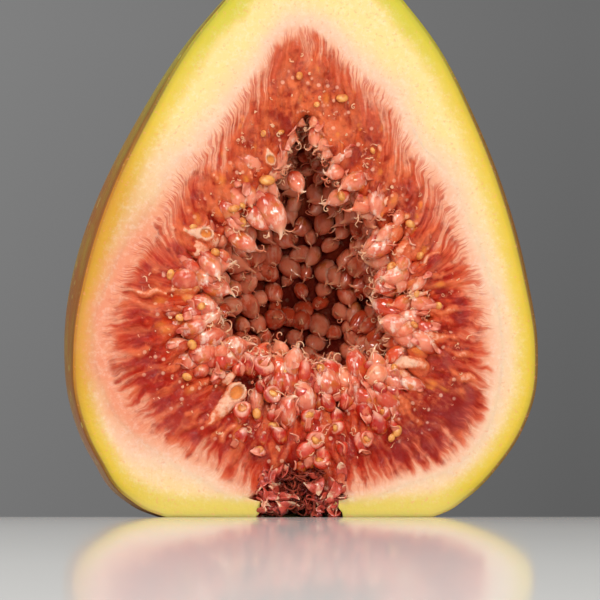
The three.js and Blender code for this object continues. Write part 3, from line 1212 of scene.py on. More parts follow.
    def build(self) -> Thing:
        """Builds and dresses the wall."""
        mesh = joined(
            [
                self.skin_sheet(),
                self.end_sheet(0.0, 12),
                self.end_sheet(self.form.stalk_top, 6),
                self.cut_sheet(),
                self.cavity_sheet(),
            ]
        )
        mesh = self.cut_eye(mesh)
        at = corners_of(mesh)
        away = at[:, [0, 2]] - self.form.middle
        edge = self.form.pulp.radius(np.arctan2(away[:, 1], away[:, 0]))
        radius, lean, depth = self.form.wall.at(at[:, 2]).T
        turn = np.arctan2(at[:, 1] - depth, at[:, 0] - lean)
        paint(
            mesh,
            skin_depth=self.skin_depth(at[:, [0, 2]]),
            pulp_gap=np.hypot(*away.T) - edge,
            around=np.where(turn < -math.pi / 2, turn + TURN, turn) / math.pi,
            height=at[:, 2] / self.form.stalk_top,
        )
        reach = np.hypot(at[:, 0] - lean, at[:, 1] - depth)
        on_skin = (reach > radius - 0.6) | (at[:, 2] < 0.01)
        for face in mesh.polygons:
            corners = list(face.vertices)
            outside = on_skin[corners].all() and at[corners, 1].max() > 1e-3
            face.material_index = 0 if outside else 1
        return finish_piece(
            "fig_wall", mesh, [FigSkin().build(), WallFlesh().build()], RIND_NODE
        )


def beside(way: Array) -> Array:
    """A direction [x, z] turned a quarter to its left."""
    return np.array([-way[1], way[0]])


def distance_to(line: Array, points: Array) -> Array:
    """The distance from points to the nearest of a line's straight stretches.

    Args:
        line: corners [x, z] of the line.
        points: the points [x, z].

    Returns:
        One distance for each point.
    """
    start, stretch = line[:-1], np.diff(line, axis=0)
    length = np.maximum((stretch**2).sum(1), 1e-12)
    best = np.full(len(points), np.inf)
    for a, d, l in zip(start, stretch, length):
        t = held(((points - a) @ d) / l)
        best = np.minimum(best, np.hypot(*(points - a - t[:, None] * d).T))
    return best


# ------------------------------ pulp


@dataclass
class Relief:
    """Height of the cut pulp in front of the cut plane, with the masks that colour it.

    Args:
        at: the points [x, z] of the cut plane that are shaped.
        height: their heights in mm, which start as the lowest ground.
    """

    at: Array
    height: Array
    pale: Array = field(init=False)
    gold: Array = field(init=False)
    dark_and_painted_shade: Array = field(init=False)

    def __post_init__(self) -> None:
        """Starts with bare jelly."""
        self.pale, self.gold, self.dark_and_painted_shade = np.zeros((3, len(self.at)))

    def near(self, points: Array, margin: float) -> Array:
        """Indices of the shaped points in a box round some points."""
        low, high = points.min(0) - margin, points.max(0) + margin
        x, z = self.at[:, 0], self.at[:, 1]
        return np.nonzero((x > low[0]) & (x < high[0]) & (z > low[1]) & (z < high[1]))[0]

    def raise_to(self, index: Array, height: Array, pale: Array) -> Array:
        """Lifts the ground to a height where it is lower.

        Args:
            index: the points that are looked at.
            height: the new height of each.
            pale: how pale each becomes.

        Returns:
            Which of them were lifted.
        """
        lifted = height > self.height[index]
        chosen = index[lifted]
        cover = held((height[lifted] - self.height[chosen]) / 0.3)
        self.height[chosen] = height[lifted]
        self.pale[chosen] += (pale[lifted] - self.pale[chosen]) * cover
        self.gold[chosen] *= 1 - cover
        self.dark_and_painted_shade[chosen] *= 1 - cover
        return lifted

    def strand(self, path: Array, width: Array, crest: Array, pale: Array) -> None:
        """Lays a fleshy strand along a path.

        Args:
            path: points [x, z] along the strand.
            width: half the width at each point, in mm.
            crest: the height of its middle line at each point.
            pale: how pale it is at each point.
        """
        index = self.near(path, float(width.max()))
        if not len(index):
            return
        points = self.at[index]
        best = np.full(len(index), -np.inf)
        tone = np.zeros(len(index))
        for i in range(len(path) - 1):
            stretch = path[i + 1] - path[i]
            length = max(float(stretch @ stretch), 1e-9)
            t = held(((points - path[i]) @ stretch) / length)
            away = np.hypot(*(points - path[i] - t[:, None] * stretch).T)
            half = width[i] + (width[i + 1] - width[i]) * t
            inside = away < half
            round_top = np.sqrt(held(1 - (away / half) ** 2))
            level = crest[i] + (crest[i + 1] - crest[i]) * t - (1 - round_top) * half * 0.9
            level = np.where(inside, level, -np.inf)
            better = level > best
            best = np.where(better, level, best)
            shade = (pale[i] + (pale[i + 1] - pale[i]) * t) * (0.15 + 0.85 * round_top)
            tone = np.where(better, shade, tone)
        self.raise_to(index, best, tone)

    def bulb(
        self,
        middle: Array,
        along: Array,
        length: float,
        width: float,
        crest: float,
        pale: float,
        gold: float = 0.0,
    ) -> None:
        """Sets a rounded body into the face.

        Args:
            middle: its middle [x, z].
            along: the unit direction of its long side.
            length: half its length, in mm.
            width: half its width, in mm.
            crest: the height of its top.
            pale: how pale it is.
            gold: how strongly a seed shows through its middle.
        """
        index = self.near(middle[None], length)
        away = self.at[index] - middle
        a = away @ along / length
        taper = width * (1 - 0.28 * a)
        b = (away @ beside(along)) / taper
        far = a**2 + b**2
        inside = far < 1
        index, far, a, b = index[inside], far[inside], a[inside], b[inside]
        round_top = np.sqrt(1 - far)
        lifted = self.raise_to(
            index, crest - (1 - round_top) * width * 0.8, pale * (0.5 + 0.5 * round_top)
        )
        core = np.exp(-((a + 0.15) ** 2 * 5 + b**2 * 4))
        chosen = index[lifted]
        self.gold[chosen] = np.maximum(self.gold[chosen], gold * core[lifted])

    def funnel(
        self, middle: Array, along: Array, length: float, width: float, crest: float
    ) -> None:
        """Sets a flower that is cut open lengthwise into the face: white flesh round a seed pit.

        Args:
            middle: the middle [x, z] of its wide end.
            along: the unit direction from its stalk to its wide end.
            length: its length in mm.
            width: half its width at the wide end, in mm.
            crest: the height of its cut face.
        """
        index = self.near(middle[None], length + width)
        away = self.at[index] - middle
        a = away @ along
        b = np.abs(away @ beside(along))
        back = held(-a / length)
        half = width * np.where(
            a > 0, np.sqrt(held(1 - (a / width) ** 2)), 1 - 0.72 * back**0.8
        )
        inside = (b < half) & (a > -length) & (half > 0)
        index, a, b, half, back = (v[inside] for v in (index, a, b, half, back))
        round_top = np.sqrt(held(1 - (b / half) ** 2))
        level = crest - 0.6 * back - 0.55 * (1 - round_top) * half
        tone = 0.66 + 0.45 * round_top * (1 - 0.5 * back)
        lifted = self.raise_to(index, level, tone)
        chosen, a, b = index[lifted], a[lifted], b[lifted]
        pit = held(1.2 - ((a / 1.3) ** 2 + b**2) / (0.55 * width) ** 2)
        self.height[chosen] -= 0.7 * width * np.sqrt(pit)
        self.gold[chosen] = np.clip(pit * 2.0, 0, 0.9)
        self.dark_and_painted_shade[chosen] = 0.35 * held(1 - np.abs(pit - 0.25) * 5)


@dataclass(frozen=True)
class SplitFlower:
    """A flower that the knife split lengthwise, so that its white flesh and seed pit show.

    Args:
        stalk: the point [x, z] where its stalk ends.
        head: the middle [x, z] of its wide end.
        width: half its width at the wide end, in mm.
        crest: the height of its cut face.
    """

    stalk: Pair
    head: Pair
    width: float
    crest: float

    def lie(self) -> tuple[Array, Array, float, float, float]:
        """What Relief.funnel needs: its head, its unit direction, length, width and crest."""
        head, way = np.array(self.head), np.array(self.head) - np.array(self.stalk)
        length = float(np.hypot(*way))
        return head, way / length, length, self.width, self.crest


SPLIT_FLOWERS = (
    SplitFlower((-11.2, 8.6), (-7.4, 13.0), 1.15, 0.75),
    SplitFlower((-14.9, 30.4), (-10.6, 29.6), 0.85, 0.5),
    SplitFlower((12.6, 15.8), (8.6, 16.6), 1.15, 0.85),
    SplitFlower((9.6, 34.0), (6.4, 31.8), 0.75, 0.45),
    SplitFlower((-6.4, 41.0), (-3.8, 37.4), 0.7, 0.45),
    SplitFlower((12.9, 23.6), (9.9, 22.9), 0.7, 0.45),
)


@dataclass
class Pulp:
    """The red pulp: its cut face in relief and the wall of the hollow behind."""

    form: FigForm
    columns: int = 800
    outer_rows: int = 6
    face_rows: int = 72
    hollow_rows: int = 16
    overlap: float = 2.6  # how far the face reaches over the wall's pink edge
    envelope_depth: float = 21.5
    strands: int = 180
    bulbs: int = 90
    florets: int = 70  # small ones in the upper part
    swing: float = 14.0  # degrees that the stalks turn away from the fruit's top
    eye: Triple = (-0.85, 2.6, 4.6)  # its middle [x, z] and half its width
    eye_depth: float = 3.2
    ease: float = 1.6  # mm over which the relief rises from the pulp's edge
    lip: float = 1.4  # mm over which the face rolls into the hollow
    lip_drop: float = 1.3  # how far it has gone back there
    highest: float = 1.15  # the most that the relief stands in front of the cut
    chance: random.Random = seeded(0)

    @property
    def rows(self) -> int:
        """Rows of faces from the back of the pulp to the back of the hollow."""
        return self.outer_rows + self.face_rows + self.hollow_rows

    def run(self, angle: Array) -> Array:
        """How far rising directions lie along the pulp's outline from the first, in mm."""
        return summed(np.hypot(*np.diff(self.form.pulp.at(angle), axis=0).T))

    def angles(self, share: Array) -> Array:
        """Directions from the middle that step evenly along the pulp's outline."""
        dense = np.linspace(-math.pi / 2, 1.5 * math.pi, 2000)
        run = self.run(dense)
        return np.interp(share * run[-1], run, dense)

    def turned(self, angle: Array, share: Array) -> Array:
        """The direction that a stalk has swung to.

        Args:
            angle: the direction from the middle where it leaves the wall.
            share: how far it has gone: 0 at the wall and 1 at the hollow.

        Returns:
            The direction from the middle at that point.
        """
        upper = held(np.sin(angle) * 2)
        drift = -np.radians(self.swing) * np.sin(2 * angle) * upper
        return angle + drift * (1 - (1 - held(share)) ** 2)

    def leaves_at(self, angle: Array, share: Array) -> Array:
        """Where the stalk that passes a point leaves the wall: the reverse of turned."""
        start = angle.copy()
        for _ in range(8):
            start += angle - self.turned(start, share)
        return start

    def flow(self, angle: float, start: float, end: float, points: int = 12) -> Array:
        """The way that a flower stalk lies on the cut face.

        Args:
            angle: the direction from the middle where the way leaves the wall.
            start: where it starts: 0 at the wall and 1 at the hollow.
            end: where it ends, in the same measure.
            points: how many points it has.

        Returns:
            Points [x, z] along the way.
        """
        share = np.linspace(start, end, points)
        turned = self.turned(np.full(points, angle), share)
        reach = self.form.pulp.radius(turned)
        far = reach + (self.form.hollow.radius(turned) - reach) * share
        return self.form.middle + polar(turned, far)

    def wavy(self, path: Array, size: float) -> Array:
        """Gives a path a gentle random wave.

        Args:
            path: points [x, z] along it.
            size: the size of the wave in mm.

        Returns:
            The waving path.
        """
        share = np.linspace(0, 1, len(path))
        phase, beats = self.chance.uniform(0, 6.3), self.chance.uniform(0.6, 1.6)
        shift = size * np.sin(phase + beats * TURN * share) * np.sin(math.pi * share)
        along = np.gradient(path, axis=0).T
        along /= np.maximum(np.hypot(*along), 1e-6)
        return path + (beside(along) * shift).T

    def spot(self, angle: float, share: float) -> tuple[Array, Array]:
        """A point of the cut face and the way a flower lies there.

        Args:
            angle: the direction from the middle where its stalk leaves the wall.
            share: 0 at the wall and 1 at the hollow.

        Returns:
            The point and the unit direction towards the hollow.
        """
        ends = self.flow(angle, share - 0.03, share + 0.03, 3)
        along = ends[-1] - ends[0]
        return ends[1], along / max(float(np.hypot(*along)), 1e-6)

    def lay_strands(self, relief: Relief) -> None:
        """Lays the flower stalks along the flow.

        Args:
            relief: the cut face that they lie on.
        """
        draw = self.chance.uniform
        for i in range(self.strands):
            around = (i + draw(-0.4, 0.4)) / self.strands
            angle = float(self.angles(np.array([around]))[0])
            start = draw(0.02, 0.5) ** 1.2
            path = self.wavy(self.flow(angle, start, start + draw(0.25, 0.5)), 0.4)
            share = np.linspace(0, 1, len(path))
            width = draw(0.3, 0.85) * np.sin(math.pi * (0.1 + 0.8 * share)) ** 0.6
            crest = -0.25 + draw(0.1, 0.6) * np.sin(math.pi * (0.06 + 0.7 * share))
            tone = draw(0.0, 0.95) ** 1.9
            relief.strand(path, width, crest, np.full(len(path), tone))

    def set_flowers(self, relief: Relief) -> None:
        """Sets whole, cut and torn flowers into the face.

        Args:
            relief: the cut face that they are set into.
        """
        draw = self.chance.uniform
        for _ in range(self.bulbs):
            share = draw(0.3, 1.0) ** 0.8
            middle, along = self.spot(draw(-math.pi, math.pi), share)
            length = draw(1.0, 1.7)
            width = length * draw(0.45, 0.65)
            glow = draw(0.3, 0.8) if draw(0, 1) < 0.5 else 0.0
            tone = draw(0.2, 0.65) + 0.35 * (share > 0.75)
            relief.bulb(middle, along, length, width, draw(0.0, 0.35), tone, glow)
        for _ in range(self.florets):
            share = draw(0.12, 1.0)
            middle, along = self.spot(math.pi / 2 + draw(-0.75, 0.75), share)
            length = draw(0.45, 0.95)
            glow = draw(0.4, 0.9) if draw(0, 1) < 0.3 else 0.0
            lie = along + [draw(-0.7, 0.7), draw(-0.7, 0.7)]
            lie /= np.hypot(*lie)
            relief.bulb(
                middle, lie, length, length * draw(0.4, 0.7), draw(0.0, 0.3), draw(0.3, 1.0), glow
            )
        for split in SPLIT_FLOWERS:
            relief.funnel(*split.lie())

    def stalk_run(self, angle: Array, share: Array) -> Array:
        """Where the stalk through a point leaves the wall, in mm along the pulp's outline."""
        dense = np.linspace(-math.pi, 1.7 * math.pi, 3000)
        return np.interp(self.leaves_at(angle, share), dense, self.run(dense))

    def relief(self, flat: Array, into: Array, share: Array, sag: Array) -> Relief:
        """The cut face with its stalks and flowers, on lumpy ground.

        Args:
            flat: the points [x, z] of the cut face.
            into: their distances from the wall, in mm.
            share: the same as a share: 0 at the wall and 1 at the hollow; not used.
            sag: how far each has sunk towards the hollow, from 0 to 1.

        Returns:
            The relief over those points.
        """
        cloth = on_cut(flat)
        lumps = 0.2 * rough_noise(cloth, 1.6) + 0.12 * rough_noise(cloth, 0.6, 3)
        ground = -0.22 + lumps + 0.3 * held((into - 2) / 5) - 1.5 * sag
        relief = Relief(flat, ground)
        self.lay_strands(relief)
        self.set_flowers(relief)
        return relief

    def shape(self, u: Array, v: Array) -> tuple[Array, dict[str, Array]]:
        """Places the pulp's skin and colours it.

        Args:
            u: 0 to 1 round the fruit's middle.
            v: 0 to 1 from the back of the pulp over its cut face to the back of the hollow.

        Returns:
            The points in fig space, and the masks by name.
        """
        row = np.round(v * self.rows)
        last_face_row = self.outer_rows + self.face_rows
        angle = self.angles(u)
        outline = self.form.pulp.at(angle)
        aside = np.abs(outline[:, 0] - self.eye[0]) / self.eye[2]
        at_eye = np.interp(aside, [0.85, 1.3], [1.0, 0.0]) * (outline[:, 1] < 6)
        outward = polar(angle, 1)
        beyond = self.overlap - (self.overlap + 0.4) * at_eye
        edge = outline + outward * beyond[:, None]
        rim = self.form.hollow.at(angle)
        across = held((row - self.outer_rows) / self.face_rows)
        flat = edge + (rim - edge) * across[:, None]

        into = np.einsum("ij,ij->i", outline - flat, outward)
        to_hollow = np.hypot(*(flat - rim).T)
        share = held(into / np.maximum(np.hypot(*(outline - rim).T), 1e-6))
        sag = held((share - 0.5) / 0.35) * np.clip(to_hollow / 1.5, 0.3, 1)
        sag *= np.interp(flat[:, 1], [29, 36], [1.0, 0.15])
        relief = self.relief(flat, into, share, sag)

        height = relief.height * eased((into + 0.5) / self.ease)
        tuck = held(1 - (into + beyond) / self.ease)
        height += 0.006 - 0.014 * tuck**2 * (at_eye < 0.99)
        roll = held(1 - to_hollow / self.lip)
        height -= self.lip_drop * (1 - np.sqrt(held(1 - roll**2)))
        pit = np.hypot((flat[:, 0] - self.eye[0]) / 3.2, (flat[:, 1] - self.eye[1]) / 3.0)
        eye_pit = held(1.25 - pit)
        sunk_eye = self.eye_depth * eye_pit**1.3
        height = np.minimum(height, self.highest) - sunk_eye

        out = held(1 - row / self.outer_rows)
        behind = self.form.bowl(outline, np.maximum(out, 0.04), self.envelope_depth)
        behind[:, 1] += sunk_eye * (1 - out)
        deep = held((row - last_face_row) / self.hollow_rows)
        inside = self.form.bowl(rim, deep, self.form.hollow_depth)
        inside[:, 1] += np.interp(deep, [0, 0.25], [self.lip_drop, 0.0])
        in_hollow = row > last_face_row
        points = np.where((row < self.outer_rows)[:, None], behind, on_cut(flat, -height))
        points = np.where(in_hollow[:, None], inside, points)

        wall = held((0.9 - into) / 2.4) * (1 - at_eye)
        skin_depth = np.full(len(row), WallFlesh.thickness + 1)
        outer = into < 1
        skin_depth[outer] = Wall(self.form).skin_depth(flat[outer])
        # Painted shade where the face sags back towards the hollow.
        sunk = 0.7 * sag * held((-0.3 - height) / 0.9)
        # Painted shade in the eye's pit, added to the split flowers' dark rings and the painted sag
        # shade.
        face_dark_and_painted_shade = held(np.maximum(relief.dark_and_painted_shade, sunk) + eye_pit * 1.2)
        # Scales the painted shade of the hollow's wall, which deepens with depth and is lighter near
        # the hollow's top.
        painted_hollow_shade_scale = np.interp(points[:, 2], [32, 39], [0.8, 0.35])
        masks = {
            "pale": np.where(in_hollow, 0.1, relief.pale),
            "gold": np.where(in_hollow, 0, relief.gold),
            "dark_and_painted_shade": np.where(in_hollow, held(deep * 3) * painted_hollow_shade_scale, face_dark_and_painted_shade),
            "wall": np.where(row < self.outer_rows, 1 - at_eye, eased(wall)),
            "skin_depth": skin_depth,
            "pulp_gap": -into,
            "flow_into": into,
            "flow_run": self.stalk_run(angle, share),
        }
        return points, masks

    def build(self) -> Thing:
        """Builds and dresses the pulp."""
        masks: dict[str, Array] = {}

        def place(u: Array, v: Array) -> Array:
            """Keeps the masks of the shape and passes on its points."""
            points, made = self.shape(u, v)
            masks.update(made)
            return points

        mesh = sheet(self.columns, self.rows, place)
        paint(mesh, **masks)
        return finish_piece("pulp", joined([mesh]), [PulpFlesh().build()], PULP_NODE)


# ------------------------------ flowers


@dataclass(frozen=True)
class TornLeaf:
    """A thin curled leaf with its root at the origin and its length along +X.

    Args:
        length: the least and the greatest length, in mm.
        width: the least and the greatest half width, in mm.
    """

    length: Pair
    width: Pair

    def mesh(self, chance: random.Random) -> Mesh:
        """Builds one leaf.

        Args:
            chance: what curls and folds it.

        Returns:
            The mesh.
        """
        draw = chance.uniform
        length, width = draw(*self.length), draw(*self.width)
        curl, fold, wave = draw(-1.8, 2.0), draw(0.2, 1.1), draw(0, 6.3)

        def place(u: Array, v: Array) -> Array:
            """A point of the leaf, bent along its length and folded across it."""
            half = width * np.sin(math.pi * held(0.16 + 0.84 * u)) ** 0.7
            y = (v - 0.5) * 2 * half
            bend = curl * u
            x = length * u * np.cos(bend * 0.6)
            z = length * u * np.sin(bend * 0.6) * 0.8 + fold * np.abs(y) ** 1.4
            z = z + 0.12 * np.sin(wave + 7 * u + 3 * y)
            return np.column_stack([x, y, z])

        return sheet(7, 6, place)


LEAF_THICKNESS = 0.11  # in mm


def leaf_piece(
    name: str,
    leaf: TornLeaf,
    places: Sequence[Matrix],
    chance: random.Random,
    finish: ScaleLeaf,
    replaces: Optional[str] = None,
) -> Thing:
    """Builds and dresses a piece of many torn leaves.

    Args:
        name: the piece's name.
        leaf: the leaves' form.
        places: where they sit.
        chance: the source of chance.
        finish: their finish.
        replaces: the frame's node that the piece stands for.

    Returns:
        The piece.
    """
    body, along = bmesh.new(), []
    for matrix in places:
        made = leaf.mesh(chance)
        reach = corners_of(made)[:, 0]
        along.extend(reach / reach.max())
        made.transform(matrix)
        body.from_mesh(made)
        bpy.data.meshes.remove(made)
    mesh = mesh_of(body, name)
    corners = corners_of(mesh)
    corners[:, 2] = np.maximum(corners[:, 2], 0.1)
    move_corners(mesh, corners)
    paint(mesh, along=along)
    piece = finish_piece(name, mesh, [finish.build()], replaces)
    thick = piece.modifiers.new("thickness", "SOLIDIFY")
    thick.thickness, thick.offset = LEAF_THICKNESS * MM, 0
    return piece


class Cut(Enum):
    """How much of a flower the knife left."""

    WHOLE = "whole"
    OPEN = "open"


@dataclass(frozen=True)
class Seat:
    """A place for one flower: where it grows, which way it points and how big it is."""

    at: Vector
    along: Vector
    size: float

    def matrix(self, spin: float) -> Matrix:
        """Puts a shape made along +Z on the seat, after a spin about its own axis."""
        turn = self.along.to_track_quat("Z", "Y").to_matrix().to_4x4()
        spun = Matrix.Translation(self.at) @ turn @ Matrix.Rotation(spin, 4, "Z")
        return spun @ Matrix.Scale(self.size, 4)

    def end(self, reach: float) -> Vector:
        """A point along the flower, at a reach in mm for a flower of the common size."""
        return self.at + self.along * self.size * reach


def big_seats(*rows: Sequence[float]) -> tuple[Seat, ...]:
    """Seats of outstanding flowers, each from its place, the way it points and its size."""
    return tuple(Seat(Vector(row[:3]), Vector(row[3:6]).normalized(), row[6]) for row in rows)


def crowded(here: Vector, others: Sequence[Seat], step: float) -> bool:
    """Whether a place lies nearer than a step to one of the seats."""
    return any((here - other.at).length < step for other in others)


BIG_HOLLOW_FLOWERS = big_seats(
    (-5.0, 1.6, 15.4, 0.1, -0.12, 1.0, 1.15),
    (-2.2, 3.0, 16.2, -0.2, -0.2, 1.0, 0.9),
    (-5.6, 2.0, 37.0, 0.75, -0.3, -0.6, 1.0),
    (8.2, 2.4, 33.0, -0.75, -0.3, -0.7, 1.05),
    (10.2, 2.4, 24.6, -0.9, -0.3, -0.35, 1.05),
)
BIG_RIM_FLOWERS = big_seats(
    (-4.9, 1.1, 33.9, 0.55, -0.1, -0.8, 1.5),
    (5.4, 0.9, 38.9, -0.8, -0.1, -0.5, 1.0),
    (6.8, 0.9, 35.8, -0.9, -0.1, -0.3, 1.2),
    (-7.3, 0.9, 37.6, 0.85, -0.1, -0.4, 1.1),
    (-3.9, 1.4, 38.4, 0.6, -0.15, -0.75, 0.85),
    (4.2, 1.5, 37.0, -0.8, -0.15, -0.6, 0.8),
    (-1.2, 2.6, 36.4, 0.2, -0.3, -0.9, 0.85),
    (-2.7, 1.5, 40.2, 0.5, -0.1, -0.85, 0.7),
    (3.3, 1.4, 39.4, -0.65, -0.1, -0.75, 0.75),
    (4.6, 1.5, 34.2, -0.85, -0.1, -0.5, 0.95),
    (-12.6, 0.9, 22.6, 0.95, -0.12, -0.35, 1.3),
    (-12.0, 0.9, 18.2, 0.95, -0.1, 0.3, 1.25),
    (-11.6, 0.9, 26.4, 0.9, -0.12, -0.1, 1.2),
    (11.4, 0.9, 19.6, -0.9, -0.12, 0.3, 1.25),
    (9.4, 0.9, 28.8, -0.85, -0.12, -0.3, 1.15),
    (5.2, 0.8, 12.6, -0.2, -0.15, 0.9, 1.05),
)


@dataclass
class Seats:
    """Chooses where the flowers sit: in the hollow, on the cut face and on the mound below."""

    form: FigForm
    pulp: Pulp
    step: float = 1.68  # the least distance between two flowers in the hollow, in mm
    tries: int = 9000
    droop: Triple = (0.0, -0.35, -0.55)  # added to the way they point
    chance: random.Random = seeded(1)

    def point(self, angle: float, back: float) -> Vector:
        """A point of the hollow's wall."""
        rim = self.form.hollow.at(np.array([angle]))
        return Vector(self.form.bowl(rim, np.array([back]), self.form.hollow_depth)[0])

    def inward(self, angle: float, back: float) -> Vector:
        """The direction from the hollow's wall into the hollow.

        Args:
            angle: the direction from the middle, as in point.
            back: 0 at the rim and 1 at the deepest point.

        Returns:
            A unit direction.
        """
        here = self.point(angle, back)
        aside = self.point(angle + 0.05, back) - here
        deeper = self.point(angle, min(back + 0.03, 0.999)) - here
        normal = aside.cross(deeper).normalized()
        middle = Vector((0, 6, 24))
        return normal if normal.dot(middle - here) > 0 else -normal

    def shaken(self, along: Vector, size: float) -> Vector:
        """A direction with a random lean."""
        lean = Vector([self.chance.uniform(-size, size) for _ in range(3)])
        return (along + lean).normalized()

    def free(self, here: Vector) -> bool:
        """Whether a flower on the face would leave the outstanding ones in sight.

        Args:
            here: its place.

        Returns:
            True where it may grow.
        """
        spot = np.array([[here.x, here.z]])
        for split in SPLIT_FLOWERS:
            if distance_to(np.array([split.stalk, split.head]), spot)[0] < split.width + 0.8:
                return False
        for big in BIG_RIM_FLOWERS:
            end = big.end(2.4)
            line = np.array([[big.at.x, big.at.z], [end.x, end.z]])
            if distance_to(line, spot)[0] < big.size:
                return False
        return True

    def in_hollow(self) -> list[Seat]:
        """Seats over the whole wall of the hollow, about a step apart."""
        draw = self.chance.uniform
        seats: list[Seat] = []
        for _ in range(self.tries):
            angle, back = draw(-math.pi, math.pi), 0.03 + 0.97 * draw(0, 1) ** 0.8
            here = self.point(angle, back)
            narrow = min(1.0, max(0.6, (46 - here.z) / 12))
            if crowded(here, seats, self.step * narrow):
                continue
            along = self.shaken(self.inward(angle, back) + Vector(self.droop), 0.55)
            seats.append(Seat(here - along * 0.4, along, draw(0.8, 1.3) * narrow))
        return seats

    def on_face(self, count: int, low: float, high: float, step: float) -> list[Seat]:
        """Seats of flowers that lie on the cut face and point to the hollow.

        Args:
            count: how many there are.
            low: the nearest to the wall that they grow, from 0 at the wall to 1 at the hollow.
            high: the nearest to the hollow that they grow, in the same measure.
            step: the least distance between two, in mm.

        Returns:
            The seats.
        """
        draw = self.chance.uniform
        seats: list[Seat] = []
        for _ in range(count * 12):
            if len(seats) == count:
                break
            share = draw(low, high)
            spot, way = self.pulp.spot(draw(-math.pi, math.pi), share)
            here = Vector((spot[0], draw(0.45, 1.05) + 2 * max(share - 0.85, 0), spot[1]))
            if crowded(here, seats, step) or here.z > 42 or (here.z > 35 and share < 0.86):
                continue
            if not self.free(here):
                continue
            along = self.shaken(Vector((way[0], -0.08, way[1])), 0.32)
            narrow = min(1.0, max(0.6, (48 - here.z) / 12))
            seats.append(Seat(here, along, draw(0.65, 1.3) * narrow))
        return seats

    def on_mound(self, count: int, step: float, back: float, way: Vector) -> list[Seat]:
        """Seats of flowers that stand on the mound between the eye and the hollow.

        Args:
            count: how many there are.
            step: the least distance between two, in mm.
            back: how far their roots lie behind the cut.
            way: the direction that they roughly point to.

        Returns:
            The seats.
        """
        draw = self.chance.uniform
        seats: list[Seat] = []
        for _ in range(count * 12):
            if len(seats) == count:
                break
            x, z = draw(-9.5, 9.5), draw(3.6, 15.6)
            if z < 4.2 + abs(x) * 0.4 or math.hypot(x - EYE_AXIS[0], z - 2.6) < 2.2:
                continue
            here = Vector((x, back + draw(-0.3, 0.3), z))
            if crowded(here, seats, step) or not self.free(here):
                continue
            along = self.shaken(way - Vector((0.04 * x, 0, 0)), 0.5)
            seats.append(Seat(here, along, draw(0.5, 1.05)))
        return seats


BODY_STOPS = (  # the reach of a whole flower along its body, without its beak
    (0, 0), (0.03, 0.34), (0.12, 0.7), (0.28, 0.94), (0.48, 1.0), (0.68, 0.94),
    (0.84, 0.74), (0.95, 0.44),
)
CUP_STOPS = (  # the same for an opened one, over its rim and down to its seed
    (0, 0), (0.05, 0.4), (0.2, 0.8), (0.34, 1.0), (0.46, 0.96), (0.55, 0.8),
    (0.58, 0.62), (0.55, 0.47), (0.46, 0.4), (0.4, 0),
)


